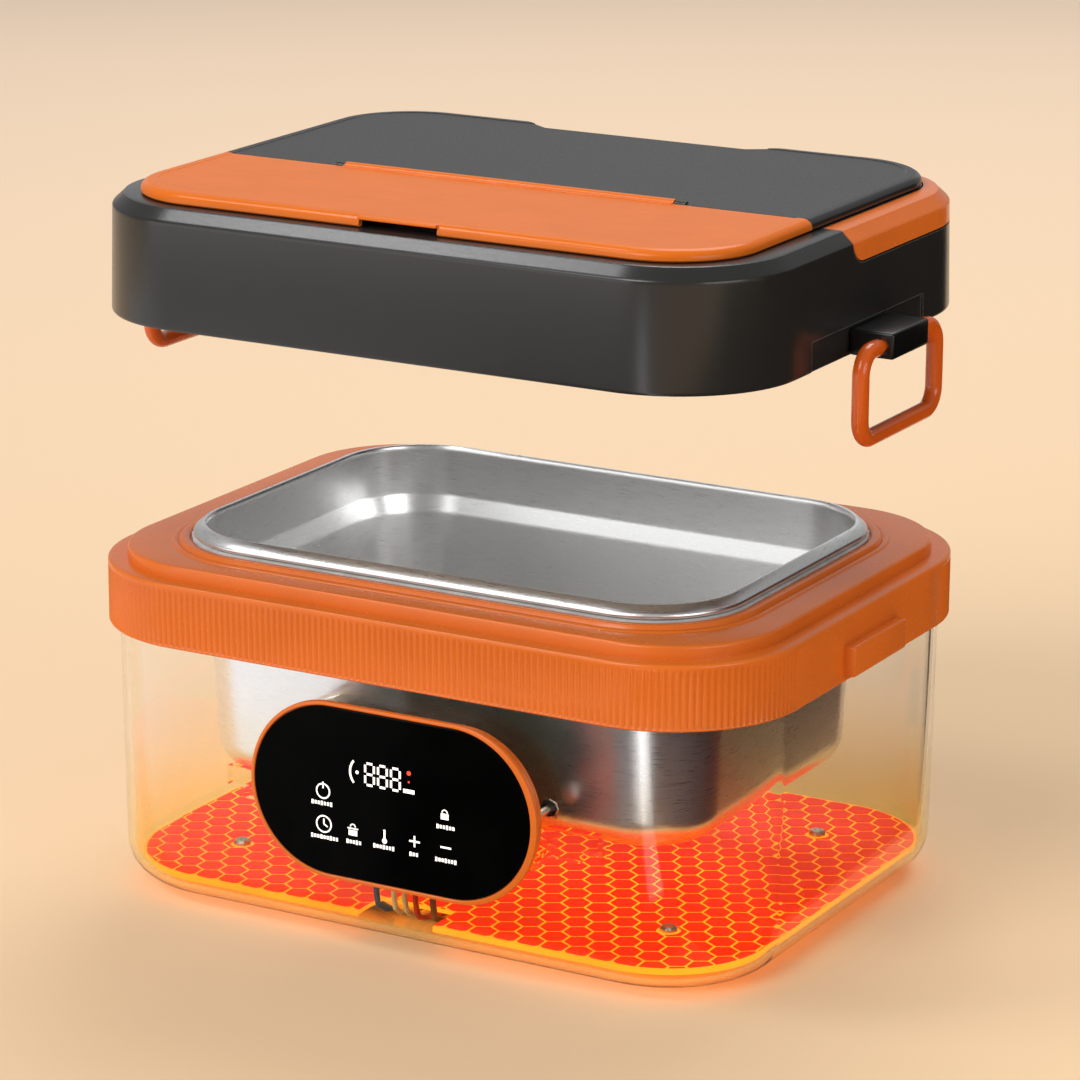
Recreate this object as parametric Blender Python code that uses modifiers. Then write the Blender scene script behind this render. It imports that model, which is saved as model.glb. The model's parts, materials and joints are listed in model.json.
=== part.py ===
"""Portable electric lunch box with its lid raised above the heated base.

Metres, +Z up. The origin is on the surface that the feet stand on, under the middle of the box.
The front, with the control panel, faces -Y. The lid is modelled raised by LID_LIFT above the base.
"""

import math

import bmesh
import bpy
from mathutils import Matrix, Vector

# Fits between touching pieces
FIT_GAP = 0.0003
RUN_GAP = 0.0005

# Clear outer tub
SHELL_HALF_X = 0.1198
SHELL_HALF_Y = 0.0922
SHELL_CORNER = 0.0410
SHELL_TOP_Z = 0.1077
SHELL_WALL = 0.0025
SHELL_DRAFT = 0.0013
SHELL_FOOT_RADIUS = 0.0130
FOOT_DROP = 0.0015
FOOT_RADIUS = 0.0080
FOOT_RECESS = 0.0008
FOOT_INSET_X = 0.0340
FOOT_INSET_Y = 0.0340

# Collar that closes the tub and carries the pan
COLLAR_WALL = 0.0030
COLLAR_SKIRT = 0.0213
COLLAR_LEDGE_RISE = 0.0033
COLLAR_LEDGE_Z = SHELL_TOP_Z + COLLAR_LEDGE_RISE
COLLAR_ROOF = 0.0030
DECK_RISE = 0.0040
RIDGE_RISE = 0.0016
SEAT_WIDTH = 0.0036
RIB_PITCH = 0.0032
RIB_DEPTH = 0.0005
LUG_LENGTH = 0.0380
LUG_HEIGHT = 0.0100
LUG_REACH = 0.0039
LUG_TOP_DROP = 0.0092

# Food pan
PAN_INSET_X = 0.0208
PAN_INSET_Y = 0.0192
PAN_CORNER_LESS = 0.0086
PAN_RIM_HALF_X = SHELL_HALF_X - PAN_INSET_X
PAN_RIM_HALF_Y = SHELL_HALF_Y - PAN_INSET_Y
PAN_RIM_CORNER = SHELL_CORNER - PAN_CORNER_LESS
PAN_RIM_HEIGHT = 0.0040
PAN_LIP = 0.0033
PAN_SHEET = 0.0009
PAN_DEPTH = 0.0830
PAN_STEP_DROP = 0.0185
PAN_STEP_FALL = 0.0052
PAN_STEP_IN = 0.0022
PAN_TAPER = 0.0022
PAN_FOOT_RADIUS = 0.0110
PAN_CLEARANCE = 0.0008
SEAT_SEAL_HEIGHT = 0.0010

# Heater under the pan
PLATE_EDGE_GAP = 0.0038
PLATE_THICKNESS = 0.0015
PLATE_TOP_Z = 0.0100
FRONT_NOTCH_DEPTH = 0.0152
REAR_NOTCH_DEPTH = 0.0232
BOSS_RADIUS = 0.0040
BOSS_INSET_X = 0.0398
BOSS_INSET_Y = 0.0402
BOSS_X = SHELL_HALF_X - BOSS_INSET_X
BOSS_Y = SHELL_HALF_Y - BOSS_INSET_Y
SCREW_SHANK = 0.0013
SCREW_HEAD = 0.0030
SCREW_HEAD_HEIGHT = 0.0016
ELEMENT_RADIUS = 0.0015
ELEMENT_INSET_X = 0.0180
ELEMENT_INSET_Y = 0.0090
ELEMENT_HALF_X = BOSS_X - ELEMENT_INSET_X
ELEMENT_HALF_Y = BOSS_Y - ELEMENT_INSET_Y
ELEMENT_CORNER = 0.0150
ELEMENT_GAP = 0.0140
SHIELD_THICKNESS = 0.0006
SHIELD_INSET_Y = 0.0262
SHIELD_HALF_Y = SHELL_HALF_Y - SHIELD_INSET_Y
SHIELD_CORNER = 0.0100
THERMOSTAT_RADIUS = 0.0060
FUSE_RADIUS = 0.0014
FUSE_LENGTH = 0.0120
FUSE_LEAD = 0.0140
FUSE_X = THERMOSTAT_RADIUS + FUSE_LEAD + FUSE_LENGTH / 2
SENSOR_RADIUS = 0.0014
SENSOR_LENGTH = 0.0080
SENSOR_X = -0.0300
SENSOR_Y = 0.0150
WIRE_RADIUS = 0.0010
MAINS_WIRE_RADIUS = 0.0011
LEAD_SPACING = 0.0040
RISER_INSET = 0.0058
MAINS_LANE_X = 0.0095
MAINS_LANE_Y = 0.0170
LEAD_TURN = 0.0130
LEAD_ENTRY = 0.0030
WIRE_GATE = 0.0140

# Control panel
PANEL_HALF_X = 0.0525
PANEL_HALF_Z = 0.0295
PANEL_X = 0.0030
PANEL_Z = 0.0515
BEZEL_FLANGE = 0.0016
BEZEL_RING = 0.0014
BEZEL_SLEEVE_IN = 0.0018
BEZEL_SLEEVE_WALL = 0.0020
BEZEL_DEPTH = 0.0055
GLASS_THICKNESS = 0.0008
HOUSING_DEPTH = 0.0135
HOUSING_WALL = 0.0015
BOARD_HALF_X = 0.0360
BOARD_HALF_Z = 0.0190
BOARD_THICKNESS = 0.0016
DISPLAY_HALF_X = 0.0180
DISPLAY_HALF_Z = 0.0085
DISPLAY_RAISE = 0.0075
DISPLAY_LEFT = 0.0040
DISPLAY_UP = 0.0085
CLIP_REACH = 0.0175
CLIP_LOW_REACH = 0.0111
CLIP_DROP = 0.0022
CLIP_HEIGHT = 0.0066
CLIP_LOW_HEIGHT = 0.0035
CLIP_SETBACK = 0.0040
CLIP_THICKNESS = 0.0030
PANEL_BOSS_RADIUS = 0.0042
BOARD_POST_RADIUS = 0.0020
BOARD_SETBACK = 0.0045

# Power inlet at the rear
INLET_Z = 0.0250
INLET_HALF_X = 0.0120
INLET_HALF_Z = 0.0070
INLET_DEPTH = 0.0200
INLET_FLANGE = 0.0030
INLET_FLANGE_THICKNESS = 0.0018
SOCKET_HALF_X = 0.0090
SOCKET_HALF_Z = 0.0042
SOCKET_DEPTH = 0.0140
PIN_RADIUS = 0.0012
PIN_SPACING = 0.0086
PIN_LENGTH = 0.0190

# Lid body
LID_LIFT = 0.0818
LID_OVERHANG_X = 0.0002
LID_OVERHANG_Y = 0.0001
LID_HALF_X = SHELL_HALF_X + LID_OVERHANG_X
LID_HALF_Y = SHELL_HALF_Y + LID_OVERHANG_Y
LID_CORNER = SHELL_CORNER
LID_WALL = 0.0028
LID_SHOULDER = 0.0344
LID_HEIGHT = 0.0384
LID_SHOULDER_IN = 0.0008
LID_CHAMFER = 0.0040
LID_RIM_ROOF = 0.0229
UPPER_WALL = 0.0025
UPPER_CORNER = 0.0200
DECK_CLEARANCE = 0.0005

# Raised top of the lid
TOP_INSET_X = 0.0117
TOP_INSET_FRONT = 0.0088
TOP_INSET_BACK = 0.0076
TOP_CORNER_LESS = 0.0120
TOP_HALF_X = LID_HALF_X - TOP_INSET_X
TOP_FRONT_Y = TOP_INSET_FRONT - LID_HALF_Y
TOP_BACK_Y = LID_HALF_Y - TOP_INSET_BACK
TOP_CORNER = LID_CORNER - TOP_CORNER_LESS
TOP_HEIGHT = 0.0040
COVER_DEPTH = 0.0656
COVER_REAR_Y = TOP_FRONT_Y + COVER_DEPTH
COVER_SPLIT = 0.0006
COVER_SKIN = 0.0020
COVER_RIM = 0.0022
NOTCH_HALF_X = 0.0380
NOTCH_SLANT = 0.0140
NOTCH_DEPTH = 0.0093
SCOOP_DEPTH = 0.0050
TAB_HALF_X = 0.0140
TAB_REACH = 0.0016
TAB_THICKNESS = 0.0012
RECESS_DEPTH = 0.0030

# Front cover hinge
HINGE_BARREL_RADIUS = 0.0019
HINGE_EAR_RADIUS = 0.0015
HINGE_PIN_RADIUS = 0.0007
HINGE_PROUD = 0.0010
HINGE_PLAY = 0.0002
HINGE_HALF_X = 0.0600
HINGE_EAR_LENGTH = 0.0036

# Cutlery well under the front cover
WELL_INSET_X = 0.0243
WELL_INSET_FRONT = 0.0155
WELL_INSET_BACK = 0.0111
WELL_HALF_X = TOP_HALF_X - WELL_INSET_X
WELL_FRONT_Y = TOP_FRONT_Y + WELL_INSET_FRONT
WELL_BACK_Y = COVER_REAR_Y - WELL_INSET_BACK
WELL_CORNER = 0.0080
WELL_FLANGE = 0.0050
WELL_FLANGE_THICKNESS = 0.0012
WELL_WALL = 0.0015
WELL_DEPTH = 0.0213

# Liner and seal inside the lid
LINER_THICKNESS = 0.0022
LINER_DROP = 0.0070
LINER_RIB = 0.0018
LINER_RIB_DROP = 0.0020
SEAL_WIDTH = 0.0048
SEAL_SIDE_GAP = 0.0006
LINER_SCREW_INSET_X = 0.0110
LINER_SCREW_INSET_Y = 0.0473
LINER_SCREW_X = LID_HALF_X - LINER_SCREW_INSET_X
LINER_SCREW_Y = LID_HALF_Y - LINER_SCREW_INSET_Y
LINER_SCREW_LENGTH = 0.0063

# Folding carrying handle
HANDLE_HEIGHT = 0.0100
HANDLE_PIVOT_DROP = 0.0025
HANDLE_PIVOT_BEHIND = 0.0144
HANDLE_PIVOT_Y = COVER_REAR_Y + HANDLE_PIVOT_BEHIND
HANDLE_PIN_RADIUS = 0.0014
HANDLE_PIN_ROOT = 0.0060
HANDLE_PIN_GRIP = 0.0065

# Side bails
BAIL_PIVOT_RISE = 0.0044
BAIL_PIVOT_OUT = 0.0102
BAIL_RADIUS = 0.0027
BAIL_PIN_RADIUS = 0.0021
BAIL_DROP = 0.0275
BAIL_SPREAD = 0.0540
BAIL_CORNER = 0.0070
BLOCK_LENGTH = 0.0260
BLOCK_HEIGHT = 0.0084
BLOCK_OUT = 0.0144
POCKET_LENGTH = 0.0800
POCKET_HEIGHT = 0.0095
POCKET_DEPTH = 0.0010

# Fineness of the round shapes
CORNER_STEPS = 6
COLLAR_STEPS = 7
ROUND_STEPS = 16
SMALL_STEPS = 8
FOOT_STEPS = 12

# Heights that follow from the sizes above
SHELL_BOTTOM_Z = FOOT_DROP
SHELL_FLOOR_Z = SHELL_BOTTOM_Z + SHELL_WALL
COLLAR_HALF_X = SHELL_HALF_X + FIT_GAP + COLLAR_WALL
COLLAR_HALF_Y = SHELL_HALF_Y + FIT_GAP + COLLAR_WALL
COLLAR_CORNER = SHELL_CORNER + FIT_GAP + COLLAR_WALL
COLLAR_BOTTOM_Z = COLLAR_LEDGE_Z - COLLAR_SKIRT
DECK_Z = COLLAR_LEDGE_Z + DECK_RISE
RIDGE_Z = DECK_Z + RIDGE_RISE
SEAT_Z = DECK_Z + 0.0004
PAN_LIP_Z = SEAT_Z + FIT_GAP + SEAT_SEAL_HEIGHT + FIT_GAP
PAN_TOP_Z = PAN_LIP_Z + PAN_RIM_HEIGHT
PAN_BOTTOM_Z = PAN_TOP_Z - PAN_DEPTH
LID_Z = COLLAR_LEDGE_Z + FIT_GAP + LID_LIFT
LID_RIM_Z = LID_Z + LID_RIM_ROOF
LEDGE_Z = LID_Z + LID_HEIGHT
TOP_BASE_Z = LEDGE_Z + FIT_GAP
TOP_Z = LEDGE_Z + TOP_HEIGHT
COVER_HINGE_Y = COVER_REAR_Y + HINGE_BARREL_RADIUS
COVER_HINGE_Z = TOP_Z + HINGE_PROUD - HINGE_BARREL_RADIUS
HANDLE_PIVOT_Z = LEDGE_Z - HANDLE_PIVOT_DROP
HANDLE_LOW_Z = LEDGE_Z - HANDLE_HEIGHT
HANDLE_END_RADIUS = HANDLE_HEIGHT - HANDLE_PIVOT_DROP + 0.0001
BAIL_PIVOT_X = LID_HALF_X + BAIL_PIVOT_OUT
BAIL_PIVOT_Z = LID_Z + BAIL_PIVOT_RISE
PLATE_BASE_Z = PLATE_TOP_Z - PLATE_THICKNESS
SHIELD_Z = SHELL_FLOOR_Z + FIT_GAP
ELEMENT_Z = PLATE_BASE_Z - FIT_GAP - ELEMENT_RADIUS
WIRE_Z = SHIELD_Z + SHIELD_THICKNESS + FIT_GAP + MAINS_WIRE_RADIUS
OVER = 0.0100

ORANGE = (0.76, 0.155, 0.026)
DARK = (0.060, 0.060, 0.059)
BLACK = (0.008, 0.008, 0.008)
STEEL = (0.62, 0.62, 0.62)
RUBBER = (0.55, 0.55, 0.53)


def clear_file():
    """Removes what the file starts with."""
    for obj in list(bpy.data.objects):
        bpy.data.objects.remove(obj, do_unlink=True)


def new_collection(name):
    collection = bpy.data.collections.new(name)
    bpy.context.scene.collection.children.link(collection)
    return collection


clear_file()
PARTS = new_collection("electric_lunch_box")
CUTTERS = new_collection("cutters")


# Outlines and rings

def rounded_outline(x_range, y_range, radius, steps=CORNER_STEPS):
    """Corner points of a rounded rectangle, anticlockwise."""
    low_x, high_x = x_range
    low_y, high_y = y_range
    corners = (
        (high_x - radius, high_y - radius, 0),
        (low_x + radius, high_y - radius, 90),
        (low_x + radius, low_y + radius, 180),
        (high_x - radius, low_y + radius, 270),
    )
    points = []
    for centre_x, centre_y, start in corners:
        for step in range(steps + 1):
            angle = math.radians(start + 90 * step / steps)
            points.append((centre_x + radius * math.cos(angle), centre_y + radius * math.sin(angle)))
    return points


def ring(half_x, half_y, radius, z, steps=CORNER_STEPS):
    """A rounded rectangle about the middle of the box, at one height."""
    outline = rounded_outline((-half_x, half_x), (-half_y, half_y), radius, steps)
    return [(x, y, z) for x, y in outline]


def inset_rings(half_x, half_y, radius, profile, steps=CORNER_STEPS):
    """Rings of one rounded rectangle drawn in by the first value of each profile point."""
    return [ring(half_x - inset, half_y - inset, radius - inset, z, steps) for inset, z in profile]


def stadium(half_x, half_z, centre, y, steps=CORNER_STEPS):
    """A stadium outline that stands in a plane of constant y."""
    outline = rounded_outline((-half_x, half_x), (-half_z, half_z), half_z * 0.9999, steps)
    return [(centre[0] + u, y, centre[1] + v) for u, v in outline]


def circle(radius, steps=ROUND_STEPS):
    return [(radius * math.cos(2 * math.pi * i / steps), radius * math.sin(2 * math.pi * i / steps))
            for i in range(steps)]


# Building blocks

def material(name, colour, roughness, metallic=0.0, alpha=1.0):
    shade = bpy.data.materials.new(name)
    shade.use_nodes = True
    shader = shade.node_tree.nodes["Principled BSDF"]
    shader.inputs["Base Color"].default_value = (*colour, 1.0)
    shader.inputs["Roughness"].default_value = roughness
    shader.inputs["Metallic"].default_value = metallic
    shader.inputs["Alpha"].default_value = alpha
    return shade


def add_object(name, mesh, collection):
    obj = bpy.data.objects.new(name, mesh)
    collection.objects.link(obj)
    if collection is CUTTERS:
        obj.hide_render = True
        obj.display_type = "WIRE"
    return obj


def mesh_from(name, bm, collection, smooth=True):
    bmesh.ops.recalc_face_normals(bm, faces=bm.faces)
    mesh = bpy.data.meshes.new(name)
    bm.to_mesh(mesh)
    bm.free()
    if smooth:
        mesh.shade_smooth()
        mesh.set_sharp_from_angle(angle=math.radians(35))
    return add_object(name, mesh, collection)


def loft(name, rings, collection=PARTS, closed=False):
    """Skins a run of matching rings. A closed run joins its ends, an open one is capped."""
    bm = bmesh.new()
    loops = [[bm.verts.new(point) for point in points] for points in rings]
    pairs = list(zip(loops, loops[1:]))
    if closed:
        pairs.append((loops[-1], loops[0]))
    for lower, upper in pairs:
        count = len(lower)
        for i in range(count):
            bm.faces.new((lower[i], lower[(i + 1) % count], upper[(i + 1) % count], upper[i]))
    if not closed:
        bm.faces.new(loops[0])
        bm.faces.new(loops[-1])
    return mesh_from(name, bm, collection)


def prism(name, outline, low, high, collection=PARTS):
    """A flat outline drawn up from one height to another."""
    bm = bmesh.new()
    face = bm.faces.new([bm.verts.new((x, y, low)) for x, y in outline])
    drawn = bmesh.ops.extrude_face_region(bm, geom=[face])
    raised = [item for item in drawn["geom"] if isinstance(item, bmesh.types.BMVert)]
    bmesh.ops.translate(bm, verts=raised, vec=(0, 0, high - low))
    return mesh_from(name, bm, collection)


def box(name, low, high, collection=PARTS, bevel=0.0):
    """A box between two corners, with its edges rounded by bevel."""
    low = Vector(low)
    high = Vector(high)
    bm = bmesh.new()
    size = Matrix.Diagonal(((high - low).x, (high - low).y, (high - low).z, 1))
    bmesh.ops.create_cube(bm, size=1.0, matrix=Matrix.Translation((low + high) / 2) @ size)
    obj = mesh_from(name, bm, collection)
    if bevel:
        edge = obj.modifiers.new("edge", "BEVEL")
        edge.width = bevel
        edge.segments = 1
    return obj


AXIS_TURN = {
    "x": Matrix.Rotation(math.radians(90), 4, "Y"),
    "y": Matrix.Rotation(math.radians(-90), 4, "X"),
    "z": Matrix.Identity(4),
}


def turned(name, profile, centre, axis="z", collection=PARTS, steps=ROUND_STEPS):
    """A turned piece: profile holds (radius, distance along the axis) from one end to the other."""
    place = Matrix.Translation(centre) @ AXIS_TURN[axis]
    rings = []
    for radius, along in profile:
        rings.append([place @ Vector((x, y, along)) for x, y in circle(radius, steps)])
    return loft(name, rings, collection)


def rod(name, radius, start, end, centre, axis="z", collection=CUTTERS, steps=ROUND_STEPS):
    return turned(name, ((radius, start), (radius, end)), centre, axis, collection, steps)


def combine(obj, tool, operation="DIFFERENCE"):
    change = obj.modifiers.new(operation.lower(), "BOOLEAN")
    change.operation = operation
    change.solver = "EXACT"
    change.object = tool
    return obj


def smooth_route(points, steps=2):
    """Points of a smooth curve through the given ones."""
    knots = [Vector(point) for point in points]
    knots = [2 * knots[0] - knots[1]] + knots + [2 * knots[-1] - knots[-2]]
    route = []
    for before, start, end, after in zip(knots, knots[1:], knots[2:], knots[3:]):
        for step in range(steps):
            t = step / steps
            route.append(0.5 * (2 * start + (end - before) * t
                                + (2 * before - 5 * start + 4 * end - after) * t ** 2
                                + (3 * start - before - 3 * end + after) * t ** 3))
    route.append(knots[-2])
    return route


def wire(name, points, radius, weights=None, cyclic=False, roundness=1):
    """A round wire along the points, thinner where a weight is under one."""
    curve = bpy.data.curves.new(name, "CURVE")
    curve.dimensions = "3D"
    curve.bevel_depth = radius
    curve.bevel_resolution = roundness
    curve.use_fill_caps = True
    spline = curve.splines.new("POLY")
    spline.points.add(len(points) - 1)
    spline.use_cyclic_u = cyclic
    for i, point in enumerate(points):
        spline.points[i].co = (*point, 1.0)
        if weights:
            spline.points[i].radius = weights[i]
    return add_object(name, curve, PARTS)


def finish(obj, shade, pivot=None):
    """Gives a piece its material and hangs it on the empty at its joint, if it moves."""
    obj.data.materials.append(shade)
    if pivot:
        obj.data.transform(Matrix.Translation(-pivot.matrix_world.translation))
        obj.parent = pivot
    return obj


def joint_empty(name, place, parent=None):
    """An empty on a joint's axis."""
    empty = bpy.data.objects.new(name, None)
    PARTS.objects.link(empty)
    empty.parent = parent
    offset = parent.matrix_world.translation if parent else Vector((0, 0, 0))
    empty.location = Vector(place) - offset
    bpy.context.view_layer.update()
    return empty


PAN_JOINT = joint_empty("pan_joint", (0, 0, PAN_BOTTOM_Z))
LID_JOINT = joint_empty("lid_joint", (0, 0, LID_Z))
COVER_JOINT = joint_empty("cover_joint", (0, COVER_HINGE_Y, COVER_HINGE_Z), LID_JOINT)
HANDLE_JOINT = joint_empty("handle_joint", (0, HANDLE_PIVOT_Y, HANDLE_PIVOT_Z), LID_JOINT)
BAIL_JOINT = {
    "left": joint_empty("bail_joint_left", (-BAIL_PIVOT_X, 0, BAIL_PIVOT_Z), LID_JOINT),
    "right": joint_empty("bail_joint_right", (BAIL_PIVOT_X, 0, BAIL_PIVOT_Z), LID_JOINT),
}


def shell_half_y(z):
    """Half the tub's depth at a height, with the draft of its walls."""
    share = (SHELL_TOP_Z - z) / (SHELL_TOP_Z - SHELL_BOTTOM_Z - SHELL_FOOT_RADIUS)
    return SHELL_HALF_Y - SHELL_DRAFT * share


PANEL_BACK_Y = -(shell_half_y(PANEL_Z + PANEL_HALF_Z) + FIT_GAP)
SLEEVE_HALF_X = PANEL_HALF_X - BEZEL_SLEEVE_IN
SLEEVE_HALF_Z = PANEL_HALF_Z - BEZEL_SLEEVE_IN
SLEEVE_END_Y = PANEL_BACK_Y + BEZEL_DEPTH
HOUSING_FRONT_Y = SLEEVE_END_Y + FIT_GAP
HOUSING_BACK_Y = HOUSING_FRONT_Y + HOUSING_DEPTH
PANEL_AT = (PANEL_X, PANEL_Z)
PANEL_SCREW_OFFSET = SLEEVE_HALF_X - 0.0055
INLET_FACE_Y = shell_half_y(INLET_Z + INLET_HALF_Z) + FIT_GAP


def bottom_arc(inset, z, radius, turns=3):
    """Profile points that round a wall into a floor."""
    points = []
    for step in range(turns + 1):
        angle = math.radians(90 * step / turns)
        points.append((inset + radius * (1 - math.cos(angle)), z + radius * (1 - math.sin(angle))))
    return points


def plate_bosses():
    return [(sx * BOSS_X, sy * BOSS_Y) for sx in (-1, 1) for sy in (-1, 1)]


def foot_places():
    foot_x = SHELL_HALF_X - FOOT_INSET_X
    foot_y = SHELL_HALF_Y - FOOT_INSET_Y
    return [(sx * foot_x, sy * foot_y) for sx in (-1, 1) for sy in (-1, 1)]


# Base

def make_clear_shell():
    """The clear tub, with its window for the panel, its inlet hole, screw bosses and foot recesses."""
    outer = [(0, SHELL_TOP_Z)] + bottom_arc(SHELL_DRAFT, SHELL_BOTTOM_Z, SHELL_FOOT_RADIUS)
    inner = bottom_arc(SHELL_DRAFT + SHELL_WALL, SHELL_FLOOR_Z, SHELL_FOOT_RADIUS - SHELL_WALL)
    profile = outer + inner[::-1] + [(SHELL_WALL, SHELL_TOP_Z)]
    rings = inset_rings(SHELL_HALF_X, SHELL_HALF_Y, SHELL_CORNER, profile)
    outer_rings = rings[:len(outer)]
    inner_rings = rings[len(outer):]
    shell = loft("clear_shell", outer_rings[::-1] + inner_rings[::-1])
    window_x = SLEEVE_HALF_X + FIT_GAP
    window_z = SLEEVE_HALF_Z + FIT_GAP
    window = loft("window_cutter", [stadium(window_x, window_z, PANEL_AT, -SHELL_HALF_Y - OVER),
                                    stadium(window_x, window_z, PANEL_AT, HOUSING_BACK_Y)], CUTTERS)
    combine(shell, window)
    hole_x = INLET_HALF_X + FIT_GAP
    hole_z = INLET_HALF_Z + FIT_GAP
    hole = box("inlet_cutter", (-hole_x, SHELL_HALF_Y - OVER, INLET_Z - hole_z),
               (hole_x, SHELL_HALF_Y + OVER, INLET_Z + hole_z), CUTTERS)
    combine(shell, hole)
    boss_top = PLATE_BASE_Z - FIT_GAP
    for index, (x, y) in enumerate(plate_bosses(), 1):
        boss = rod(f"boss_{index}", BOSS_RADIUS, SHELL_FLOOR_Z - 0.0008, boss_top, (x, y, 0),
                   steps=SMALL_STEPS)
        combine(shell, boss, "UNION")
        bore = rod(f"boss_bore_{index}", SCREW_SHANK + FIT_GAP, SHELL_FLOOR_Z + 0.0006, boss_top + 0.001,
                   (x, y, 0), steps=SMALL_STEPS)
        combine(shell, bore)
    for index, (x, y) in enumerate(foot_places(), 1):
        recess = rod(f"foot_recess_{index}", FOOT_RADIUS + FIT_GAP, -OVER, SHELL_BOTTOM_Z + FOOT_RECESS,
                     (x, y, 0), steps=FOOT_STEPS)
        combine(shell, recess)
    finish(shell, material("clear_plastic", (0.92, 0.93, 0.95), 0.05, alpha=0.25))


def make_feet():
    shade = material("silicone_foot", (0.10, 0.10, 0.10), 0.7)
    top = SHELL_BOTTOM_Z + FOOT_RECESS - FIT_GAP
    for index, (x, y) in enumerate(foot_places(), 1):
        profile = ((FOOT_RADIUS - 0.0006, 0.0), (FOOT_RADIUS, 0.0006), (FOOT_RADIUS, top))
        finish(turned(f"foot_{index}", profile, (x, y, 0), steps=FOOT_STEPS), shade)


def seat_ring(outward, z, steps=COLLAR_STEPS):
    """A ring that follows the pan rim, moved outward from the pan's upper wall."""
    shift = outward - PAN_LIP
    return ring(PAN_RIM_HALF_X + shift, PAN_RIM_HALF_Y + shift, PAN_RIM_CORNER + shift, z, steps)


def make_rib_cutters():
    """Upright V grooves along the front and rear of the skirt and round its four corners."""
    bm = bmesh.new()
    low = COLLAR_BOTTOM_Z - OVER
    high = COLLAR_LEDGE_Z - 0.0012
    straight = 2 * (COLLAR_HALF_X - COLLAR_CORNER)
    arc = COLLAR_CORNER * math.pi / 2
    count = int((straight + 2 * arc) / RIB_PITCH)
    start = -(count - 1) / 2 * RIB_PITCH
    for side in (-1, 1):
        for i in range(count):
            along = start + i * RIB_PITCH
            beyond = abs(along) - straight / 2
            turn = max(beyond, 0) / COLLAR_CORNER * (1 if along > 0 else -1)
            centre_x = max(-straight / 2, min(straight / 2, along))
            out = Vector((math.sin(turn), side * math.cos(turn), 0))
            across = Vector((math.cos(turn), -side * math.sin(turn), 0))
            hub = Vector((centre_x, side * (COLLAR_HALF_Y - COLLAR_CORNER), 0))
            apex = hub + out * (COLLAR_CORNER - RIB_DEPTH)
            wide = hub + out * (COLLAR_CORNER + RIB_DEPTH)
            corners = (apex, wide + across * RIB_PITCH * 0.55, wide - across * RIB_PITCH * 0.55)
            lower = [bm.verts.new((p.x, p.y, low)) for p in corners]
            upper = [bm.verts.new((p.x, p.y, high)) for p in corners]
            bm.faces.new(lower)
            bm.faces.new(upper)
            for a, b in ((0, 1), (1, 2), (2, 0)):
                bm.faces.new((lower[a], lower[b], upper[b], upper[a]))
    return mesh_from("rib_cutters", bm, CUTTERS, smooth=False)


def make_collar():
    """The orange ring: ribbed skirt, ledge for the lid, raised deck and two ridges round the pan."""
    deck_x = LID_HALF_X - LID_WALL - DECK_CLEARANCE
    deck_y = LID_HALF_Y - LID_WALL - DECK_CLEARANCE
    deck_r = LID_CORNER - LID_WALL - DECK_CLEARANCE
    skirt_inner = COLLAR_WALL
    roof_z = SHELL_TOP_Z + FIT_GAP
    outside = inset_rings(COLLAR_HALF_X, COLLAR_HALF_Y, COLLAR_CORNER, (
        (skirt_inner, COLLAR_BOTTOM_Z), (0.0006, COLLAR_BOTTOM_Z), (0, COLLAR_BOTTOM_Z + 0.0006),
        (0, COLLAR_LEDGE_Z - 0.0012), (0.0004, COLLAR_LEDGE_Z - 0.0004), (0.0012, COLLAR_LEDGE_Z),
    ), COLLAR_STEPS)
    deck = inset_rings(deck_x, deck_y, deck_r, (
        (0, COLLAR_LEDGE_Z), (0.0002, DECK_Z - 0.0016), (0.0009, DECK_Z - 0.0004), (0.0021, DECK_Z),
    ), COLLAR_STEPS)
    ridges = [seat_ring(*point) for point in (
        (0.0120, DECK_Z), (0.0112, DECK_Z + 0.0010), (0.0096, DECK_Z + 0.0010), (0.0086, DECK_Z + 0.0002),
        (0.0075, RIDGE_Z), (SEAT_WIDTH + PAN_CLEARANCE + 0.0004, RIDGE_Z),
        (SEAT_WIDTH + PAN_CLEARANCE, SEAT_Z), (PAN_CLEARANCE, SEAT_Z), (PAN_CLEARANCE, SEAT_Z - COLLAR_ROOF),
    )]
    under_inset = skirt_inner + SHELL_WALL + 0.0022
    underside = inset_rings(COLLAR_HALF_X, COLLAR_HALF_Y, COLLAR_CORNER, (
        (under_inset, SEAT_Z - COLLAR_ROOF), (under_inset, roof_z), (skirt_inner, roof_z),
    ), COLLAR_STEPS)
    collar = loft("collar", outside + deck + ridges + underside, closed=True)
    combine(collar, make_rib_cutters())
    lug_top = COLLAR_LEDGE_Z - LUG_TOP_DROP
    for side in (-1, 1):
        reach = COLLAR_HALF_X + LUG_REACH
        xs = sorted((side * (COLLAR_HALF_X - COLLAR_WALL / 2), side * reach))
        lug = box(f"lug_{side}", (xs[0], -LUG_LENGTH / 2, lug_top - LUG_HEIGHT),
                  (xs[1], LUG_LENGTH / 2, lug_top), CUTTERS, bevel=0.0008)
        combine(collar, lug, "UNION")
    finish(collar, material("orange_collar_plastic", ORANGE, 0.35))


def make_seat_seal():
    low = SEAT_Z + FIT_GAP
    inner = PAN_CLEARANCE + 0.0002
    outer = PAN_CLEARANCE + SEAT_WIDTH - 0.0004
    rings = [seat_ring(*point, CORNER_STEPS) for point in (
        (inner, low), (outer, low), (outer, low + SEAT_SEAL_HEIGHT), (inner, low + SEAT_SEAL_HEIGHT))]
    finish(loft("pan_seat_seal", rings, closed=True), material("seat_silicone", RUBBER, 0.6))


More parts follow.
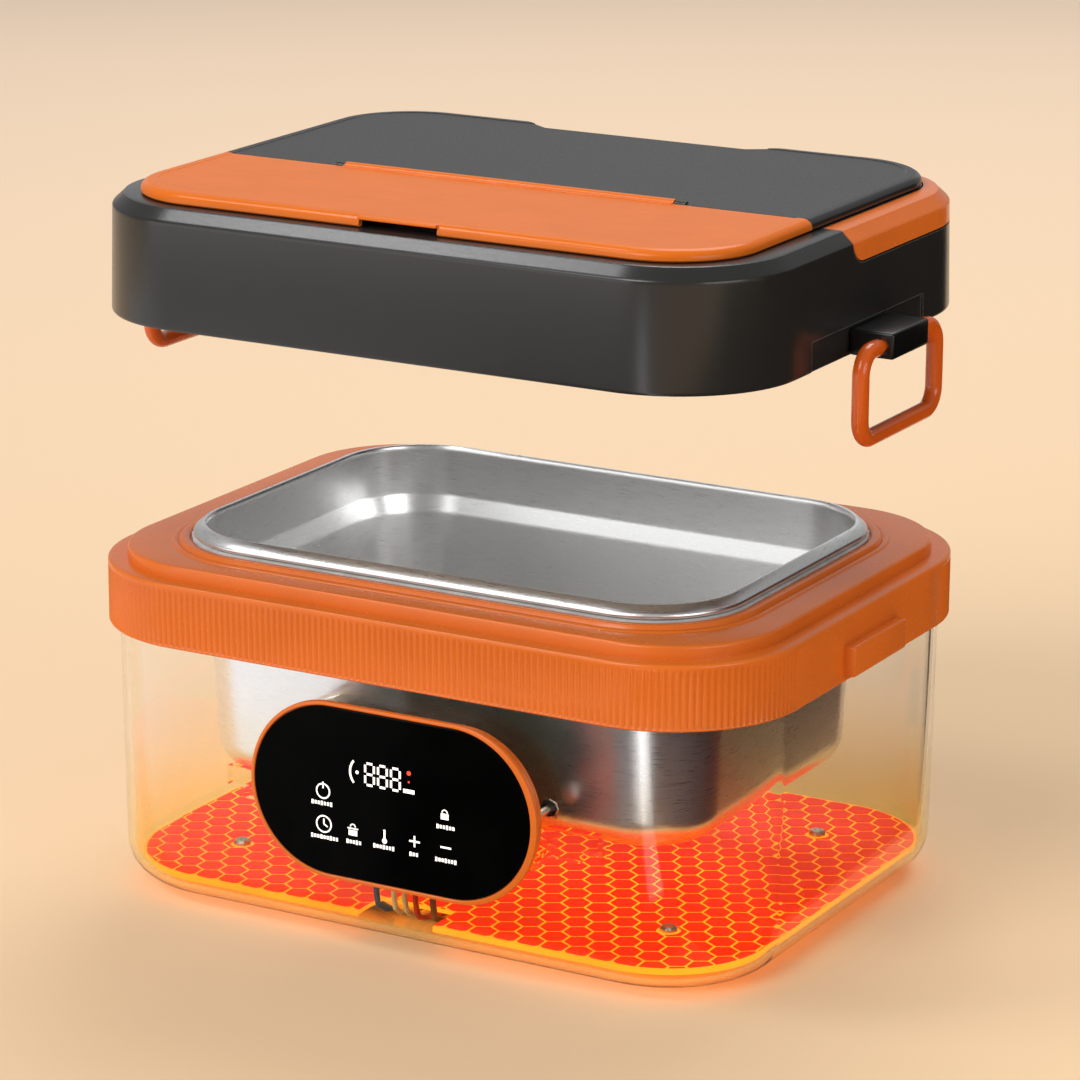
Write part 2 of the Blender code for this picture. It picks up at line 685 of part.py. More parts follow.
def make_pan():
    """The pressed pan: rolled rim, stepped wall with a little taper and a rounded bottom."""
    step_top = PAN_TOP_Z - PAN_STEP_DROP
    step_low = step_top - PAN_STEP_FALL
    low_in = PAN_LIP + PAN_STEP_IN
    foot_in = low_in + PAN_TAPER
    sheet = PAN_SHEET
    outer = [
        (PAN_LIP + 0.0008, PAN_TOP_Z), (0.0012, PAN_TOP_Z), (0, PAN_TOP_Z - 0.0013), (0, PAN_LIP_Z + 0.0007),
        (0.0007, PAN_LIP_Z), (PAN_LIP, PAN_LIP_Z), (PAN_LIP, step_top),
        (low_in, step_low),
    ] + bottom_arc(foot_in, PAN_BOTTOM_Z, PAN_FOOT_RADIUS)
    inner = bottom_arc(foot_in + sheet, PAN_BOTTOM_Z + sheet, PAN_FOOT_RADIUS - sheet)[::-1] + [
        (low_in + sheet, step_low + 0.0003), (PAN_LIP + sheet, step_top + 0.0003),
        (PAN_LIP + sheet, PAN_TOP_Z - 0.0018), (PAN_LIP + sheet + 0.0001, PAN_TOP_Z - 0.0009),
    ]
    rings = inset_rings(PAN_RIM_HALF_X, PAN_RIM_HALF_Y, PAN_RIM_CORNER, outer + inner)
    split = len(outer)
    pan = loft("steel_pan", rings[split:] + rings[:split])
    finish(pan, material("stainless_steel", STEEL, 0.28, 1.0), PAN_JOINT)


def plate_outline():
    inset = SHELL_WALL + PLATE_EDGE_GAP
    half_x = SHELL_HALF_X - inset
    half_y = SHELL_HALF_Y - inset
    return rounded_outline((-half_x, half_x), (-half_y, half_y), SHELL_CORNER - inset)


def make_heater_plate():
    """The flat plate on the bosses, with notches front and rear where the wires come up."""
    plate = prism("heater_plate", plate_outline(), PLATE_BASE_Z, PLATE_TOP_Z)
    edge_y = SHELL_HALF_Y - SHELL_WALL - PLATE_EDGE_GAP
    for side, depth in ((-1, FRONT_NOTCH_DEPTH), (1, REAR_NOTCH_DEPTH)):
        ys = sorted((side * (edge_y - depth), side * (edge_y + 0.0020)))
        notch = box(f"plate_notch_{side}", (-WIRE_GATE, ys[0], PLATE_BASE_Z - OVER),
                    (WIRE_GATE, ys[1], PLATE_TOP_Z + OVER), CUTTERS)
        combine(plate, notch)
    for index, (x, y) in enumerate(plate_bosses(), 1):
        hole = rod(f"plate_hole_{index}", SCREW_SHANK + FIT_GAP, 0, PLATE_TOP_Z + OVER, (x, y, 0),
                   steps=SMALL_STEPS)
        combine(plate, hole)
    finish(plate, material("heater_plate_enamel", (0.55, 0.05, 0.02), 0.45))


def make_heat_shield():
    """The thin reflector on the floor, between the screw bosses."""
    half_x = BOSS_X - BOSS_RADIUS - RUN_GAP
    outline = rounded_outline((-half_x, half_x), (-SHIELD_HALF_Y, SHIELD_HALF_Y), SHIELD_CORNER)
    shield = prism("heat_shield", outline, SHIELD_Z, SHIELD_Z + SHIELD_THICKNESS)
    finish(shield, material("shield_aluminium", (0.75, 0.75, 0.75), 0.35, 1.0))


def screw(name, centre, axis, length, shade, pivot=None):
    """A pan-head screw: its head starts at the centre point and its shank runs on along the axis."""
    profile = (
        (SCREW_HEAD * 0.75, -SCREW_HEAD_HEIGHT), (SCREW_HEAD, -SCREW_HEAD_HEIGHT * 0.5), (SCREW_HEAD, 0),
        (SCREW_SHANK, 0), (SCREW_SHANK, length),
    )
    return finish(turned(name, profile, centre, axis, steps=SMALL_STEPS), shade, pivot)


def make_plate_screws(shade):
    length = PLATE_TOP_Z + FIT_GAP - SHELL_FLOOR_Z - 0.0009
    for index, (x, y) in enumerate(plate_bosses(), 1):
        head = PLATE_TOP_Z + FIT_GAP
        profile = (
            (SCREW_SHANK, head - length), (SCREW_SHANK, head), (SCREW_HEAD, head),
            (SCREW_HEAD, head + SCREW_HEAD_HEIGHT * 0.5), (SCREW_HEAD * 0.75, head + SCREW_HEAD_HEIGHT),
        )
        finish(turned(f"plate_screw_{index}", profile, (x, y, 0), steps=SMALL_STEPS), shade)


def element_route():
    """The heating tube: a rounded rectangle left open at the front."""
    outline = rounded_outline((-ELEMENT_HALF_X, ELEMENT_HALF_X), (-ELEMENT_HALF_Y, ELEMENT_HALF_Y),
                              ELEMENT_CORNER, 5)
    per_corner = len(outline) // 4
    ordered = outline[3 * per_corner:] + outline[:3 * per_corner]
    return [(ELEMENT_GAP, -ELEMENT_HALF_Y)] + ordered + [(-ELEMENT_GAP, -ELEMENT_HALF_Y)]


def make_element():
    points = [(x, y, ELEMENT_Z) for x, y in element_route()]
    tube = wire("heater_element", points, ELEMENT_RADIUS)
    finish(tube, material("element_tube", (0.35, 0.34, 0.33), 0.4, 1.0))


def make_controls_on_plate():
    """Thermostat, thermal fuse and temperature probe, close under the heater plate."""
    top = PLATE_BASE_Z - FIT_GAP
    profile = ((THERMOSTAT_RADIUS, top - 0.0024), (THERMOSTAT_RADIUS, top - 0.0005),
               (THERMOSTAT_RADIUS - 0.0008, top))
    finish(turned("thermostat", profile, (0, 0, 0)), material("thermostat_case", (0.5, 0.5, 0.48), 0.4, 1.0))
    fuse = ((FUSE_RADIUS * 0.6, 0), (FUSE_RADIUS, 0.001), (FUSE_RADIUS, FUSE_LENGTH - 0.001),
            (FUSE_RADIUS * 0.6, FUSE_LENGTH))
    finish(turned("thermal_fuse", fuse, (FUSE_X - FUSE_LENGTH / 2, 0, top - FUSE_RADIUS), "x",
                  steps=SMALL_STEPS), material("fuse_case", (0.80, 0.78, 0.70), 0.5))
    probe = ((SENSOR_RADIUS * 0.5, SENSOR_LENGTH), (SENSOR_RADIUS, SENSOR_LENGTH - 0.001), (SENSOR_RADIUS, 0))
    finish(turned("temperature_sensor", probe[::-1], (SENSOR_X, SENSOR_Y, top - SENSOR_RADIUS), "y",
                  steps=SMALL_STEPS), material("sensor_probe", (0.65, 0.65, 0.62), 0.35, 1.0))


def make_wires():
    """The leads inside the base. Each starts and ends close to what it feeds."""
    red = material("lead_red", (0.55, 0.02, 0.02), 0.5)
    white = material("lead_white", (0.75, 0.74, 0.70), 0.5)
    brown = material("lead_brown", (0.16, 0.06, 0.03), 0.5)
    blue = material("lead_blue", (0.02, 0.08, 0.35), 0.5)
    rise_y = -(SHELL_HALF_Y - SHELL_WALL - PLATE_EDGE_GAP) + RISER_INSET
    lane_x = ELEMENT_HALF_X + MAINS_LANE_X
    lane_y = ELEMENT_HALF_Y + MAINS_LANE_Y
    turn_y = -(ELEMENT_HALF_Y + LEAD_TURN)
    entry_y = -(ELEMENT_HALF_Y - LEAD_ENTRY)
    entry_z = PANEL_Z - SLEEVE_HALF_Z + 0.0040

    def riser(x):
        return [(x, rise_y, entry_z), (x, rise_y, entry_z - 0.0080), (x, rise_y + 0.0012, WIRE_Z + 0.0042),
                (x, rise_y + 0.0090, WIRE_Z)]

    pin_end_y = INLET_FACE_Y + INLET_FLANGE_THICKNESS - SOCKET_DEPTH + 0.0105 - PIN_LENGTH
    for name, side, shade in (("left", -1, blue), ("right", 1, brown)):
        x = side * PIN_SPACING / 2
        back = pin_end_y - FIT_GAP
        route = [(x, back, INLET_Z), (x, back - 0.0022, INLET_Z - 0.0012),
                 (x, back - 0.0032, INLET_Z - 0.0060), (side * 0.0060, back - 0.0030, INLET_Z - 0.0110),
                 (side * 0.0085, back - 0.0032, WIRE_Z + 0.0030), (side * 0.0150, back - 0.0070, WIRE_Z),
                 (side * (lane_x - 0.0315), lane_y, WIRE_Z),
                 (side * (lane_x - 0.0095), lane_y - 0.0080, WIRE_Z),
                 (side * (lane_x - 0.0015), lane_y / 2, WIRE_Z), (side * lane_x, 0.0, WIRE_Z),
                 (side * (lane_x - 0.0015), -lane_y / 2, WIRE_Z),
                 (side * (lane_x - 0.0115), 0.0080 - lane_y, WIRE_Z),
                 (side * (lane_x - 0.0415), -lane_y - 0.0020, WIRE_Z)]
        route += riser(side * 0.0105)[::-1]
        finish(wire(f"mains_wire_{name}", smooth_route(route), MAINS_WIRE_RADIUS), shade)

    lead = riser(LEAD_SPACING) + [(LEAD_SPACING, entry_y, WIRE_Z), (0.0010, entry_y / 2, WIRE_Z),
                                  (0, -THERMOSTAT_RADIUS - FIT_GAP, WIRE_Z)]
    finish(wire("heater_lead", smooth_route(lead), WIRE_RADIUS), red)
    link = [(THERMOSTAT_RADIUS + FIT_GAP, 0, WIRE_Z), (THERMOSTAT_RADIUS + FUSE_LEAD / 2, 0, WIRE_Z),
            (FUSE_X - FUSE_LENGTH / 2 - FIT_GAP, 0, WIRE_Z + 0.0005)]
    finish(wire("thermostat_link", smooth_route(link), WIRE_RADIUS), red)
    fuse_end = FUSE_X + FUSE_LENGTH / 2 + 2 * FIT_GAP
    bend_x = fuse_end + 0.0020
    inner_y = entry_y + 0.0040
    fuse_link = [(fuse_end, 0, WIRE_Z + 0.0005), (fuse_end + 0.0040, inner_y / 9, WIRE_Z),
                 (bend_x, inner_y * 5 / 9, WIRE_Z), (bend_x - 0.0120, inner_y + 0.0030, WIRE_Z),
                 (bend_x - 0.0243, inner_y, WIRE_Z), (0.0085, -ELEMENT_HALF_Y + 0.0020, WIRE_Z),
                 (ELEMENT_GAP - FIT_GAP, -ELEMENT_HALF_Y, ELEMENT_Z)]
    finish(wire("fuse_link", smooth_route(fuse_link), WIRE_RADIUS), red)
    back_lead = riser(-LEAD_SPACING) + [(-0.0050, turn_y, WIRE_Z), (-0.0065, turn_y + 0.0060, WIRE_Z),
                                        (-0.0090, -ELEMENT_HALF_Y, WIRE_Z),
                                        (-ELEMENT_GAP + FIT_GAP, -ELEMENT_HALF_Y, ELEMENT_Z)]
    finish(wire("return_lead", smooth_route(back_lead), WIRE_RADIUS), white)
    probe_lead = riser(0) + [(0, turn_y, WIRE_Z), (-0.0015, entry_y, WIRE_Z), (-0.0080, entry_y / 2, WIRE_Z),
                             (-0.0230, -0.0040, WIRE_Z), (SENSOR_X, SENSOR_Y - 0.0040, WIRE_Z),
                             (SENSOR_X, SENSOR_Y - FIT_GAP, WIRE_Z + 0.0005)]
    finish(wire("sensor_lead", smooth_route(probe_lead), WIRE_RADIUS), white)


def make_panel():
    """Bezel with a pocket for the glass, glass, housing, board and display."""
    front_y = PANEL_BACK_Y - BEZEL_FLANGE
    pocket_x = PANEL_HALF_X - BEZEL_RING
    pocket_z = PANEL_HALF_Z - BEZEL_RING
    pocket_y = front_y + GLASS_THICKNESS + FIT_GAP
    inner_x = SLEEVE_HALF_X - BEZEL_SLEEVE_WALL
    inner_z = SLEEVE_HALF_Z - BEZEL_SLEEVE_WALL
    rings = [stadium(x, z, PANEL_AT, y) for x, z, y in (
        (PANEL_HALF_X, PANEL_HALF_Z, PANEL_BACK_Y), (PANEL_HALF_X, PANEL_HALF_Z, front_y + 0.0005),
        (PANEL_HALF_X - 0.0005, PANEL_HALF_Z - 0.0005, front_y), (pocket_x, pocket_z, front_y),
        (pocket_x, pocket_z, pocket_y), (inner_x, inner_z, pocket_y), (inner_x, inner_z, SLEEVE_END_Y),
        (SLEEVE_HALF_X, SLEEVE_HALF_Z, SLEEVE_END_Y), (SLEEVE_HALF_X, SLEEVE_HALF_Z, PANEL_BACK_Y),
    )]
    bezel = loft("control_bezel", rings, closed=True)
    for side in (-1, 1):
        x = PANEL_X + side * PANEL_SCREW_OFFSET
        boss = rod(f"bezel_boss_{side}", PANEL_BOSS_RADIUS, pocket_y + 0.0004, SLEEVE_END_Y - 0.0002,
                   (x, 0, PANEL_Z), "y")
        combine(bezel, boss, "UNION")
        bore = rod(f"bezel_bore_{side}", SCREW_SHANK + FIT_GAP, pocket_y + 0.0012, SLEEVE_END_Y + OVER,
                   (x, 0, PANEL_Z), "y", steps=SMALL_STEPS)
        combine(bezel, bore)
    finish(bezel, material("orange_bezel_plastic", ORANGE, 0.3))

    glass = loft("touch_glass", [
        stadium(pocket_x - FIT_GAP, pocket_z - FIT_GAP, PANEL_AT, front_y),
        stadium(pocket_x - FIT_GAP, pocket_z - FIT_GAP, PANEL_AT, front_y + GLASS_THICKNESS)])
    finish(glass, material("black_glass", BLACK, 0.06))

    body = [stadium(x, z, PANEL_AT, y) for x, z, y in (
        (SLEEVE_HALF_X - HOUSING_WALL, SLEEVE_HALF_Z - HOUSING_WALL, HOUSING_BACK_Y - HOUSING_WALL),
        (SLEEVE_HALF_X - HOUSING_WALL, SLEEVE_HALF_Z - HOUSING_WALL, HOUSING_FRONT_Y),
        (SLEEVE_HALF_X, SLEEVE_HALF_Z, HOUSING_FRONT_Y), (SLEEVE_HALF_X, SLEEVE_HALF_Z, HOUSING_BACK_Y))]
    housing = loft("panel_housing", body)
    board_back_y = HOUSING_FRONT_Y + BOARD_SETBACK + BOARD_THICKNESS
    for sx in (-1, 1):
        for sz in (-1, 1):
            at = (PANEL_X + sx * (BOARD_HALF_X - 0.004), 0, PANEL_Z + sz * (BOARD_HALF_Z - 0.004))
            post = rod(f"post_{sx}_{sz}", BOARD_POST_RADIUS, board_back_y + FIT_GAP,
                       HOUSING_BACK_Y - HOUSING_WALL / 2, at, "y", steps=SMALL_STEPS)
            combine(housing, post, "UNION")
    for side in (-1, 1):
        x = PANEL_X + side * PANEL_SCREW_OFFSET
        hole = rod(f"housing_hole_{side}", SCREW_SHANK + FIT_GAP, HOUSING_BACK_Y - 0.004,
                   HOUSING_BACK_Y + OVER, (x, 0, PANEL_Z), "y", steps=SMALL_STEPS)
        combine(housing, hole)
        edge = PANEL_X + side * (SLEEVE_HALF_X - HOUSING_WALL / 2)
        clip_y = HOUSING_FRONT_Y + CLIP_SETBACK
        clip_top = PANEL_Z - CLIP_DROP
        clip_low = clip_top - CLIP_HEIGHT
        steps = (("upper", CLIP_REACH, clip_top, clip_low),
                 ("lower", CLIP_LOW_REACH, clip_low + FIT_GAP, clip_low - CLIP_LOW_HEIGHT))
        for part, reach, top, low in steps:
            xs = sorted((edge, PANEL_X + side * (SLEEVE_HALF_X + reach)))
            clip = box(f"clip_{part}_{side}", (xs[0], clip_y, low), (xs[1], clip_y + CLIP_THICKNESS, top),
                       CUTTERS)
            combine(housing, clip, "UNION")
    entry_low = PANEL_Z - SLEEVE_HALF_Z
    entry = box("wire_entry", (-WIRE_GATE, HOUSING_FRONT_Y + 0.0005, entry_low - OVER),
                (WIRE_GATE, HOUSING_BACK_Y - HOUSING_WALL - 0.0005, entry_low + 0.0060), CUTTERS)
    combine(housing, entry)
    finish(housing, material("housing_plastic", (0.35, 0.16, 0.05), 0.4))

    board_front_y = board_back_y - BOARD_THICKNESS
    board = box("control_board", (PANEL_X - BOARD_HALF_X, board_front_y, PANEL_Z - BOARD_HALF_Z),
                (PANEL_X + BOARD_HALF_X, board_back_y, PANEL_Z + BOARD_HALF_Z))
    finish(board, material("circuit_board", (0.02, 0.18, 0.06), 0.5))
    display_back = board_front_y - FIT_GAP
    display_x = PANEL_X - DISPLAY_LEFT
    display_z = PANEL_Z + DISPLAY_UP
    display = box("display_module",
                  (display_x - DISPLAY_HALF_X, display_back - DISPLAY_RAISE, display_z - DISPLAY_HALF_Z),
                  (display_x + DISPLAY_HALF_X, display_back, display_z + DISPLAY_HALF_Z))
    finish(display, material("display_case", (0.03, 0.03, 0.03), 0.5))

    steel = material("screw_steel", (0.55, 0.55, 0.55), 0.35, 1.0)
    for name, side in (("left", -1), ("right", 1)):
        x = PANEL_X + side * PANEL_SCREW_OFFSET
        head = HOUSING_BACK_Y + FIT_GAP
        tip_y = pocket_y + 0.0016
        profile = ((SCREW_SHANK, tip_y), (SCREW_SHANK, head), (SCREW_HEAD, head),
                   (SCREW_HEAD, head + SCREW_HEAD_HEIGHT * 0.5),
                   (SCREW_HEAD * 0.75, head + SCREW_HEAD_HEIGHT))
        finish(turned(f"panel_screw_{name}", profile, (x, 0, PANEL_Z), "y", steps=SMALL_STEPS), steel)
    make_plate_screws(steel)


def make_inlet():
    """The two-pin mains inlet at the rear."""
    face = INLET_FACE_Y + INLET_FLANGE_THICKNESS
    flange_x = INLET_HALF_X + INLET_FLANGE
    flange_z = INLET_HALF_Z + INLET_FLANGE
    inlet = box("power_inlet", (-INLET_HALF_X, face - INLET_DEPTH, INLET_Z - INLET_HALF_Z),
                (INLET_HALF_X, INLET_FACE_Y + 0.0005, INLET_Z + INLET_HALF_Z))
    flange = box("inlet_flange", (-flange_x, INLET_FACE_Y, INLET_Z - flange_z),
                 (flange_x, face, INLET_Z + flange_z), CUTTERS, bevel=0.0005)
    combine(inlet, flange, "UNION")
    mouth = loft("inlet_mouth", [stadium(SOCKET_HALF_X, SOCKET_HALF_Z, (0, INLET_Z), y)
                                 for y in (face + OVER, face - SOCKET_DEPTH)], CUTTERS)
    combine(inlet, mouth)
    brass = material("pin_brass", (0.72, 0.60, 0.35), 0.3, 1.0)
    tip = face - SOCKET_DEPTH + 0.0105
    for name, side in (("left", -1), ("right", 1)):
        x = side * PIN_SPACING / 2
        bore = rod(f"pin_bore_{name}", PIN_RADIUS + FIT_GAP, face - INLET_DEPTH - OVER, face - 0.004,
                   (x, 0, INLET_Z), "y", steps=SMALL_STEPS)
        combine(inlet, bore)
        profile = ((PIN_RADIUS, tip - PIN_LENGTH), (PIN_RADIUS, tip - 0.0006), (PIN_RADIUS * 0.6, tip))
        finish(turned(f"inlet_pin_{name}", profile, (x, 0, INLET_Z), "y", steps=SMALL_STEPS), brass)
    finish(inlet, material("inlet_plastic", (0.02, 0.02, 0.02), 0.4))


# Lid

def lid_rings(low_z, with_base):
    """The lid's outer form from a height up to the ledge round the raised top."""
    shoulder_z = LID_Z + LID_SHOULDER
    share = (low_z - LID_Z) / LID_SHOULDER
    start = [(0.0006, LID_Z), (0, LID_Z + 0.0006)] if with_base else [(LID_SHOULDER_IN * share, low_z)]
    drop = LEDGE_Z - shoulder_z
    profile = start + [
        (LID_SHOULDER_IN, shoulder_z), (LID_SHOULDER_IN + 0.0006, shoulder_z + drop * 0.28),
        (LID_SHOULDER_IN + LID_CHAMFER * 0.85, LEDGE_Z - drop * 0.08),
        (LID_SHOULDER_IN + LID_CHAMFER * 1.15, LEDGE_Z),
    ]
    return inset_rings(LID_HALF_X, LID_HALF_Y, LID_CORNER, profile)


def top_outline(inset):
    """Outline of the raised top, drawn in by inset."""
    return rounded_outline((-TOP_HALF_X + inset, TOP_HALF_X - inset),
                           (TOP_FRONT_Y + inset, TOP_BACK_Y - inset), TOP_CORNER - inset)


def handle_region(name, clearance, end_radius, low):
    """The U-shaped space of the handle: outside the raised top, from the pivots to the rear."""
    inner = top_outline(-clearance)
    count = CORNER_STEPS + 1
    arc = inner[:count] + inner[count:2 * count]
    far_x = LID_HALF_X + OVER
    far_y = LID_HALF_Y + OVER
    right_x = TOP_HALF_X + clearance
    front_y = HANDLE_PIVOT_Y
    outline = [(right_x, front_y)] + arc + [(-right_x, front_y), (-far_x, front_y), (-far_x, far_y),
                                            (far_x, far_y), (far_x, front_y)]
    region = prism(name, outline, low, LEDGE_Z + OVER, CUTTERS)
    for side in (-1, 1):
        xs = sorted((side * right_x, side * far_x))
        end = rod(f"{name}_end_{side}", end_radius, xs[0], xs[1], (0, front_y, HANDLE_PIVOT_Z), "x")
        combine(region, end, "UNION")
    return region


def cavity(name, half_x, y_range, radius, low, high):
    return prism(name, rounded_outline((-half_x, half_x), y_range, radius), low, high, CUTTERS)


def make_lid_shell():
    """The dark lid body, hollow from below, rebated round the rear for the handle."""
    shell = loft("lid_shell", lid_rings(LID_Z, True))
    inner_x = LID_HALF_X - LID_WALL
    inner_y = LID_HALF_Y - LID_WALL
    combine(shell, cavity("lid_cavity", inner_x, (-inner_y, inner_y), LID_CORNER - LID_WALL, LID_Z - OVER,
                          LID_RIM_Z))
    upper_x = TOP_HALF_X - UPPER_WALL
    upper_y = (TOP_FRONT_Y + UPPER_WALL, TOP_BACK_Y - NOTCH_DEPTH - UPPER_WALL)
    roof = LEDGE_Z - LID_WALL
    combine(shell, cavity("upper_cavity", upper_x, upper_y, UPPER_CORNER, LID_RIM_Z - 0.001, roof))
    well_y = (WELL_FRONT_Y - FIT_GAP, WELL_BACK_Y + FIT_GAP)
    combine(shell, cavity("well_hole", WELL_HALF_X + FIT_GAP, well_y, WELL_CORNER + FIT_GAP, roof - OVER,
                          LEDGE_Z + OVER))
    end_radius = HANDLE_END_RADIUS + RUN_GAP
    combine(shell, handle_region("handle_rebate", 0.0, end_radius, HANDLE_PIVOT_Z - end_radius))
    combine(shell, prism("finger_scoop", notch_outline(), LEDGE_Z - SCOOP_DEPTH, LEDGE_Z + OVER, CUTTERS))
    for side in (-1, 1):
        ends = sorted((side * (TOP_HALF_X - HANDLE_PIN_ROOT - FIT_GAP), side * (TOP_HALF_X + OVER)))
        pin_hole = rod(f"lid_pin_hole_{side}", HANDLE_PIN_RADIUS + FIT_GAP, ends[0], ends[1],
                       (0, HANDLE_PIVOT_Y, HANDLE_PIVOT_Z), "x", steps=SMALL_STEPS)
        combine(shell, pin_hole)
        xs = sorted((side * (LID_HALF_X - POCKET_DEPTH), side * (LID_HALF_X + OVER)))
        pocket = box(f"bail_pocket_{side}", (xs[0], -POCKET_LENGTH / 2, LID_Z - OVER),
                     (xs[1], POCKET_LENGTH / 2, LID_Z + POCKET_HEIGHT), CUTTERS)
        combine(shell, pocket)
    for index, (x, y) in enumerate(liner_screw_places(), 1):
        hole = rod(f"liner_screw_hole_{index}", SCREW_SHANK + FIT_GAP, LID_RIM_Z - 0.001, LID_RIM_Z + 0.0038,
                   (x, y, 0), steps=SMALL_STEPS)
        combine(shell, hole)
    finish(shell, material("dark_lid_plastic", DARK, 0.35), LID_JOINT)


def liner_screw_places():
    return [(sx * LINER_SCREW_X, sy * LINER_SCREW_Y) for sx in (-1, 1) for sy in (-1, 1)]


def notch_outline():
    """The finger notch in the rear edge of the raised top, with slanted sides."""
    far_y = TOP_BACK_Y + OVER / 2
    deep = TOP_BACK_Y - NOTCH_DEPTH
    slope = NOTCH_SLANT / NOTCH_DEPTH
    half_far = NOTCH_HALF_X + (far_y - deep) * slope
    return [(-half_far, far_y), (-NOTCH_HALF_X, deep), (NOTCH_HALF_X, deep), (half_far, far_y)]


def top_plateau(name, collection=PARTS):
    """The raised top as one crowned plate, before it is split into its rear and front parts."""
    rise = TOP_Z - TOP_BASE_Z
    profile = ((0.0005, 0.0), (0.0, 0.0005), (0.0, rise * 0.42), (0.0007, rise * 0.76), (0.0020, rise * 0.95),
               (0.0034, rise))
    rings = []
    for inset, height in profile:
        rings.append([(x, y, TOP_BASE_Z + height) for x, y in top_outline(inset)])
    return loft(name, rings, collection)


def make_rear_panel():
    """The fixed rear part of the raised top, with the notch and the two hinge ears."""
    panel = top_plateau("rear_panel")
    wide = TOP_HALF_X + OVER
    front = box("rear_panel_split", (-wide, TOP_FRONT_Y - OVER, TOP_BASE_Z - OVER),
                (wide, COVER_REAR_Y + COVER_SPLIT, TOP_Z + OVER), CUTTERS)
    combine(panel, front)
    bay_x = HINGE_HALF_X + 0.0004
    bay = box("hinge_bay", (-bay_x, COVER_REAR_Y - OVER, TOP_BASE_Z - OVER),
              (bay_x, COVER_HINGE_Y + HINGE_BARREL_RADIUS + RUN_GAP, TOP_Z + OVER), CUTTERS)
    combine(panel, bay)
    combine(panel, prism("top_notch", notch_outline(), TOP_BASE_Z - OVER, TOP_Z + OVER, CUTTERS))
    hinge = (0, COVER_HINGE_Y, COVER_HINGE_Z)
    for side in (-1, 1):
        xs = sorted((side * bay_x, side * (bay_x + HINGE_EAR_LENGTH)))
        ear = rod(f"hinge_ear_{side}", HINGE_EAR_RADIUS, xs[0], xs[1], hinge, "x")
        combine(panel, ear, "UNION")
    bore_x = bay_x + HINGE_EAR_LENGTH - 0.0004
    combine(panel, rod("hinge_ear_bore", HINGE_PIN_RADIUS + HINGE_PLAY, -bore_x, bore_x, hinge, "x",
                       steps=SMALL_STEPS))
    finish(panel, material("dark_top_plastic", DARK, 0.5), LID_JOINT)


def make_front_cover():
    """The hinged front part of the raised top: a thin cover with a barrel, a finger tab and its recess."""
    cover = top_plateau("front_cover")
    wide = TOP_HALF_X + OVER
    rear = box("cover_split", (-wide, COVER_REAR_Y, TOP_BASE_Z - OVER),
               (wide, TOP_BACK_Y + OVER, TOP_Z + OVER), CUTTERS)
    combine(cover, rear)
    hollow_outline = rounded_outline((-TOP_HALF_X + COVER_RIM, TOP_HALF_X - COVER_RIM),
                                     (TOP_FRONT_Y + COVER_RIM, COVER_REAR_Y - COVER_RIM), 0.0120)
    combine(cover, prism("cover_hollow", hollow_outline, TOP_BASE_Z - OVER, TOP_Z - COVER_SKIN, CUTTERS))
    recess = box("tab_recess", (-TAB_HALF_X, TOP_FRONT_Y - OVER, TOP_BASE_Z - OVER),
                 (TAB_HALF_X, TOP_FRONT_Y + RECESS_DEPTH - 0.0012, TOP_Z - TAB_THICKNESS), CUTTERS)
    combine(cover, recess)
    tab = box("finger_tab", (-TAB_HALF_X, TOP_FRONT_Y - TAB_REACH + 0.0006, TOP_Z - TAB_THICKNESS),
              (TAB_HALF_X, TOP_FRONT_Y + 0.0050, TOP_Z - 0.0001), CUTTERS, bevel=0.0004)
    combine(cover, tab, "UNION")
    hinge = (0, COVER_HINGE_Y, COVER_HINGE_Z)
    web = box("hinge_web", (-HINGE_HALF_X, COVER_REAR_Y - 0.0012, COVER_HINGE_Z - 0.0008),
              (HINGE_HALF_X, COVER_HINGE_Y, TOP_Z + 0.0001), CUTTERS)
    combine(cover, web, "UNION")
    combine(cover, rod("hinge_barrel", HINGE_BARREL_RADIUS, -HINGE_HALF_X, HINGE_HALF_X, hinge, "x"), "UNION")
    bore_x = HINGE_HALF_X + OVER
    combine(cover, rod("hinge_barrel_bore", HINGE_PIN_RADIUS + HINGE_PLAY, -bore_x, bore_x, hinge, "x",
                       steps=SMALL_STEPS))
    finish(cover, material("orange_cover_plastic", ORANGE, 0.4), COVER_JOINT)


def make_pins():
    steel = material("pin_steel", (0.6, 0.6, 0.6), 0.25, 1.0)
    half = HINGE_HALF_X + HINGE_EAR_LENGTH - 0.0004
    pin = rod("cover_hinge_pin", HINGE_PIN_RADIUS, -half, half, (0, COVER_HINGE_Y, COVER_HINGE_Z), "x", PARTS,
              SMALL_STEPS)
    finish(pin, steel, LID_JOINT)
    for name, side in (("left", -1), ("right", 1)):
        ends = sorted((side * (TOP_HALF_X - HANDLE_PIN_ROOT), side * (TOP_HALF_X + HANDLE_PIN_GRIP)))
        dowel = rod(f"handle_pin_{name}", HANDLE_PIN_RADIUS, ends[0], ends[1],
                    (0, HANDLE_PIVOT_Y, HANDLE_PIVOT_Z), "x", PARTS, SMALL_STEPS)
        finish(dowel, steel, LID_JOINT)
    for index, (x, y) in enumerate(liner_screw_places(), 1):
        low = LID_RIM_Z - FIT_GAP - LINER_THICKNESS - FIT_GAP
        screw(f"liner_screw_{index}", (x, y, low), "z", LINER_SCREW_LENGTH, steel, LID_JOINT)


